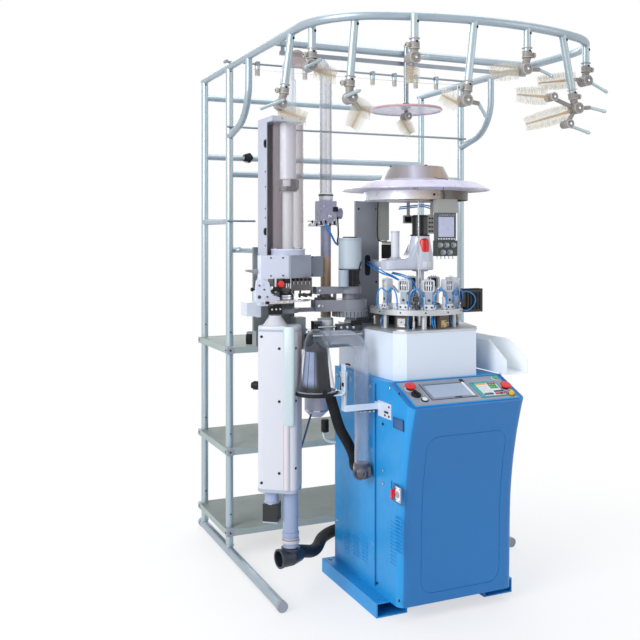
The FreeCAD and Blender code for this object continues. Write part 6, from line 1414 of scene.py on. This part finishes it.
dark.done("head_dark_parts", "dark_steel", "enclosure_white", 0.4)
cone.done("linking_cone", "bright_steel", "bed_steel", 0.4, body="linking")
dial_pins.done("linking_pins", "bright_steel", "bed_steel", body="linking")
collar_beads.done("head_flange_bead", "casing_lilac", "enclosure_white", 0.4)

# ---- transfer arm: teeth, dark fills in the drum's slots as painted shade, rollers and its motor ----
rack_and_slot_shade, rollers, motor_left, motor_dark = (Build() for _ in range(4))
rack_and_slot_shade.box(-434, -352, 86, 100, 1186.4, 1192)
for i in range(7):
    x = -432.0 + 12 * i
    rack_and_slot_shade.box(x, x + 7.6, 84, 101, 1191, 1198 + 4 * ((i * 2) % 3))
# dark boxes in the gaps between the drum's teeth: painted shade in the slots
for i in range(30):
    turn = turned_by(12.0 * i + 6)
    rack_and_slot_shade.box(70, 74.3, -2.2, 2.2, 1118, 1140, turn, ARM)
for x in (-424, -404, -384, -364):
    rollers.turned((x, 76.5, 1164), -Y, stud(6.4, 4, 5, 4.2), 18)
rollers.turned((-273, 77, 1226), -Y, stud(12, 4, 5, 9), 6)
rollers.turned((-420, 77.5, 1226), -Y, stud(5, 3, 4, 3), 14)
motor_left.turned((-318, 66, 1240.4), Z, ((0, 20), (1, 21), (66, 21), (67, 19)), 32)
motor_left.tube(ARM + Z * 1428, Z, 48.2, 40, 4, 44)
motor_left.tube(ARM + Z * 1311, Z, 48.4, 46, 5, 44)
motor_dark.wire([(-238, 66, 1340), (-250, 56, 1318), (-259, 50, 1288), (-257, 50, 1262), (-250, 54, 1250)],
                3.0, 8, 6)
motor_dark.turned((-283, 52, 1240.4), Z, stud(9, 66), 20)
motor_dark.turned(ARM + Z * 1437.6, Z, stud(30, 4, 5, 26), 36)
rack_and_slot_shade.done("arm_rack_and_slot_shade", "dark_steel", "arm_casting", 0.4, body="arm")
rollers.done("arm_rollers", "bright_steel", "bright_rod", body="arm")
motor_left.done("arm_motor_sleeve", "blue_grey", "motor_dark", 0.3, body="arm_drive")
motor_dark.done("arm_motor_dark", "black_plastic", "motor_dark", body="arm_drive")

# ---- column, clear ducts and the waste valve ----
latches, funnel, ring, fittings, tubes, brownish = (Build() for _ in range(6))
for low, high in ((1795, 1826), (1449, 1477)):
    latches.boxes((-645, -639.5, 96, 112, low, high), (-648, -644, 100, 108, low + 6, high - 6))
for z in (1553, 1518, 1463, 1408, 1700, 1640):
    latches.turned((-639.6, 108, z), -X, stud(3.4, 2.2), 12)
for x in (-600, -520):
    latches.turned((x, 29.6, 1903), -Y, stud(4, 2.4, 3.2, 2.6), 12)
funnel.turned(WASTE + Z * 1589, Z, ((0, 27), (4, 27), (6, 30.6), (26, 29), (30, 30), (34, 27)), 32)
ring.tube(WASTE + Z * 1612, Z, 31.6, 25, 5, 36)
ring.turned(WASTE + X * 33 + Z * 1540, X, ((0, 24), (8, 24), (9, 20), (22, 20)), 32)
for z in (1494, 1510):
    fittings.tube(WASTE + Z * z, Z, 26.6, 20, 6, 32)
fittings.turned(WASTE - Y * 34 + Z * 1526, -Y, ((0, 8), (6, 8), (8, 5), (14, 5)), 18)
for z in (1512, 1568):
    for x in (-24, 24):
        fittings.turned(WASTE + X * x - Y * 33.6 + Z * z, -Y, stud(3.6, 2.4, 3.2, 2.4), 12)
tubes.wire([(-360, 141, 1492), (-362, 138, 1474), (-344, 142, 1460), (-326, 150, 1434), (-312, 160, 1418),
            (-296, 168, 1408)], 4.2, 10, 6)
latches.wire([(-313, 158, 1560), (-303, 160, 1540), (-299, 162, 1500), (-297, 162, 1450), (-300, 164, 1424),
              (-292, 168, 1412)], 3.4, 10, 6)
brownish.tube(COLUMN + Z * 1913, Z, 34.4, 30, 7, 40)
elbow_disc = Build()
elbow_disc.turned((-520, 76, 2148), -Y, ((0, 33), (3, 36), (10, 36), (13, 33), (13.6, 25)), 40)
elbow_disc.done("riser_elbow_end", "brown_clear", "clear_tube")
# small fittings in a row beside the waste valve
for i in range(13):
    x = -434.0 + 10 * i
    finish_of = (fittings, latches, fittings, ring)[i % 4]
    high = 8 + 2 * (i % 3)
    finish_of.turned(Vector((x, 141, 1486 + 5 * ((i * 5) % 3))), Z, stud(3.6, high, high + 4, 2.4), 10)
for y, z, radius in ((146, 1489, 4.4), (152, 1507, 3.0)):
    fittings.rod((-440, y, z), (-372, y, z), radius, 12)
latches.box(-330, -312, 132, 146, 1546, 1566)
waste_lines = Build()
for x in (-361, -335):
    waste_lines.tube((x, 176, 1592), Z, 11.5, 9.5, 560, 24)
waste_lines.done("waste_tube_pair", "tube_clear", "clear_tube")
latches.done("column_latches", "black_plastic", bevel=0.5)
funnel.done("valve_funnel", "white_plastic", "duct_beige")
ring.done("valve_rings", "black_plastic", bevel=0.4)
fittings.done("valve_fittings", "bright_steel", "bright_rod")
tubes.done("valve_tubes", "sky_tube", "air_blue")
brownish.done("riser_ring", "disc_rim_plastic", "clear_tube")

# ---- creel: shelf corners, foot caps, star knob, ribbed plug ----
corners, screws, black, ends = (Build() for _ in range(4))
for top in SHELF_TOPS:
    for side in (-1, 1):
        for y0, y1, face in ((598.9, 634, 598.9), (1032, 1067.1, 1067.1)):
            x0, x1 = sorted((side * 641.2, side * 606))
            corners.box(x0, x1, y0, y1, top - 29, top + 0.9)
            out = -Y if face < 700 else Y
            screws.turned((side * 625, face, top - 14), out, stud(4.4, 2.0, 2.8, 3.0), 14)
            screws.turned(Vector((side * 641.2, (y0 + y1) / 2, top - 14)), X * side,
                          stud(4.4, 2.0, 2.8, 3.0), 14)
for side, front in ((-1, -14.0), (1, 215.0)):
    for y, out in ((front, -Y), (1080.0, Y)):
        black.turned(Vector((side * 615, y, 22)) - out * 15, out,
                     ((0, 20.6), (1, 21.4), (13, 21.4), (15.4, 19), (16.6, 12)), 28)
    for y in (645.0, 1040.0):
        ends.tube((side * 615, y, 42.5), Z, 20, 17, 6, 28)
        for z in (2188, 1010, 552, 190):
            black.turned((side * 615, y - 16.8, z), -Y, stud(3.6, 1.8, 2.4, 2.4), 12)
KNOB = Vector((-401, 1001, 1835))
star = []
for i in range(30):
    a = math.tau * i / 30
    r = 22.5 + 3.2 * math.cos(5 * a)
    star.append(KNOB + Vector((r * math.cos(a), -2.4, r * math.sin(a))))
black.plate(star, (0, 26, 0))
black.turned(KNOB - Y * 2.2, -Y, ((0, 13), (6, 12), (9, 7)), 20)
# rib under each shelf's middle
for top in SHELF_TOPS:
    ends.box(-590, 590, 826, 850, top - 24, top - 3.4)
# ribbed plug on the top shelf
PLUG = Vector((-500, 690, 945.9))
black.turned(PLUG, Z, ((0, 19), (3, 20), (44, 19.4), (54, 16), (57, 13)), 24)
for i in range(16):
    out = outward(22.5 * i)
    black.rod(PLUG + out * 19.6 + Z * 6, PLUG + out * 19.2 + Z * 42, 1.3, 6)
corners.done("shelf_corners", "grey_plastic", "shelf_grey", 1.0)
screws.done("shelf_screws", "dark_steel", "bright_rod")
black.done("creel_black_parts", "black_plastic", bevel=0.4)
ends.done("creel_braces", "tube_steel", "tube_blue_grey", 0.6)


# ---- floor, light and camera ----
FLOOR_HALF = 14.0
SHADE_NEAR, SHADE_FAR = 0.7, 2.2    # the floor fades from shaded to white between these distances
SHADE_LOW = 0.62
WORLD_LIGHT = 0.5


def shown_rays(tree):
    """1 for rays from the camera or by way of a mirror or glass, 0 for light itself."""
    path = tree.nodes.new("ShaderNodeLightPath")
    total = path.outputs["Is Camera Ray"]
    for ray in ("Is Glossy Ray", "Is Transmission Ray"):
        either = tree.nodes.new("ShaderNodeMath")
        either.operation = "MAXIMUM"
        tree.links.new(total, either.inputs[0])
        tree.links.new(path.outputs[ray], either.inputs[1])
        total = either.outputs["Value"]
    return total


def floor_white():
    """Pale floor that keeps the shadow near the machine and turns plain white far off."""
    s = Surface("floor_white", 0.7)
    s.colour(s.tint((246, 247, 250), 0.01, 0.8))
    away = s.node("ShaderNodeVectorMath", operation="LENGTH")
    s.link(s.coords.outputs["Object"], away.inputs[0])
    share = s.node("ShaderNodeMapRange", interpolation_type="SMOOTHSTEP")
    for socket, value in (("From Min", SHADE_NEAR), ("From Max", SHADE_FAR), ("To Min", SHADE_LOW),
                          ("To Max", 1.0)):
        share.inputs[socket].default_value = value
    s.link(away.outputs["Value"], share.inputs["Value"])
    glow = s.node("ShaderNodeEmission")
    glow.inputs["Strength"].default_value = 1.0
    both = s.node("ShaderNodeMixShader")
    s.link(s.math("MULTIPLY", shown_rays(s.tree), share.outputs["Result"]), both.inputs["Fac"])
    s.link(s.shader.outputs["BSDF"], both.inputs[1])
    s.link(glow.outputs["Emission"], both.inputs[2])
    s.link(both.outputs["Shader"], s.out.inputs["Surface"])
    return s


def lay_floor():
    mesh = bpy.data.meshes.new("floor")
    grid = bmesh.new()
    bmesh.ops.create_grid(grid, x_segments=8, y_segments=8, size=FLOOR_HALF)
    grid.to_mesh(mesh)
    grid.free()
    mesh.materials.append(floor_white().mat)
    floor = bpy.data.objects.new("floor", mesh)
    bpy.context.collection.objects.link(floor)


def light_world():
    """Even light on the object, plain white for what the camera sees behind it."""
    world = bpy.data.worlds.new("studio")
    bpy.context.scene.world = world
    world.use_nodes = True
    tree = world.node_tree
    tree.nodes.clear()
    out = tree.nodes.new("ShaderNodeOutputWorld")
    lit, seen = tree.nodes.new("ShaderNodeBackground"), tree.nodes.new("ShaderNodeBackground")
    both = tree.nodes.new("ShaderNodeMixShader")
    lit.inputs["Color"].default_value = (0.95, 0.97, 1.0, 1.0)
    lit.inputs["Strength"].default_value = WORLD_LIGHT
    seen.inputs["Color"].default_value = (1.0, 1.0, 1.0, 1.0)
    seen.inputs["Strength"].default_value = 1.0
    tree.links.new(shown_rays(tree), both.inputs[0])
    tree.links.new(lit.outputs[0], both.inputs[1])
    tree.links.new(seen.outputs[0], both.inputs[2])
    tree.links.new(both.outputs[0], out.inputs["Surface"])


def softbox(name, place, look_at, size, power):
    light = bpy.data.lights.new(name, "AREA")
    light.shape = "RECTANGLE"
    light.size, light.size_y = size
    light.energy = power
    lamp = bpy.data.objects.new(name, light)
    lamp.location = place
    lamp.rotation_euler = (Vector(look_at) - Vector(place)).to_track_quat("-Z", "Y").to_euler()
    bpy.context.collection.objects.link(lamp)


def place_camera():
    """Eye height and turn solved from the photograph's uprights and shelf edges."""
    data = bpy.data.cameras.new("camera")
    data.sensor_width = 36.0
    data.lens = 49.1
    data.shift_y = -0.133
    camera = bpy.data.objects.new("camera", data)
    camera.location = (-1.835, -3.136, 1.450)
    camera.rotation_euler = (math.radians(90.0), 0.0, math.radians(-23.8))
    bpy.context.collection.objects.link(camera)
    bpy.context.scene.camera = camera


lay_floor()
light_world()
softbox("key", (-4.7, -1.9, 3.1), (0, 0.2, 1.0), (2.6, 2.6), 185.0)
softbox("fill", (3.4, -3.6, 2.2), (0, 0.2, 1.0), (2.4, 2.8), 26.0)
softbox("top", (0.2, 0.4, 4.6), (0, 0.3, 1.0), (3.2, 3.2), 70.0)
softbox("rear", (0.5, 4.2, 2.8), (0, 0.3, 1.2), (3.0, 2.4), 60.0)
place_camera()
bpy.context.scene.view_settings.view_transform = "Standard"
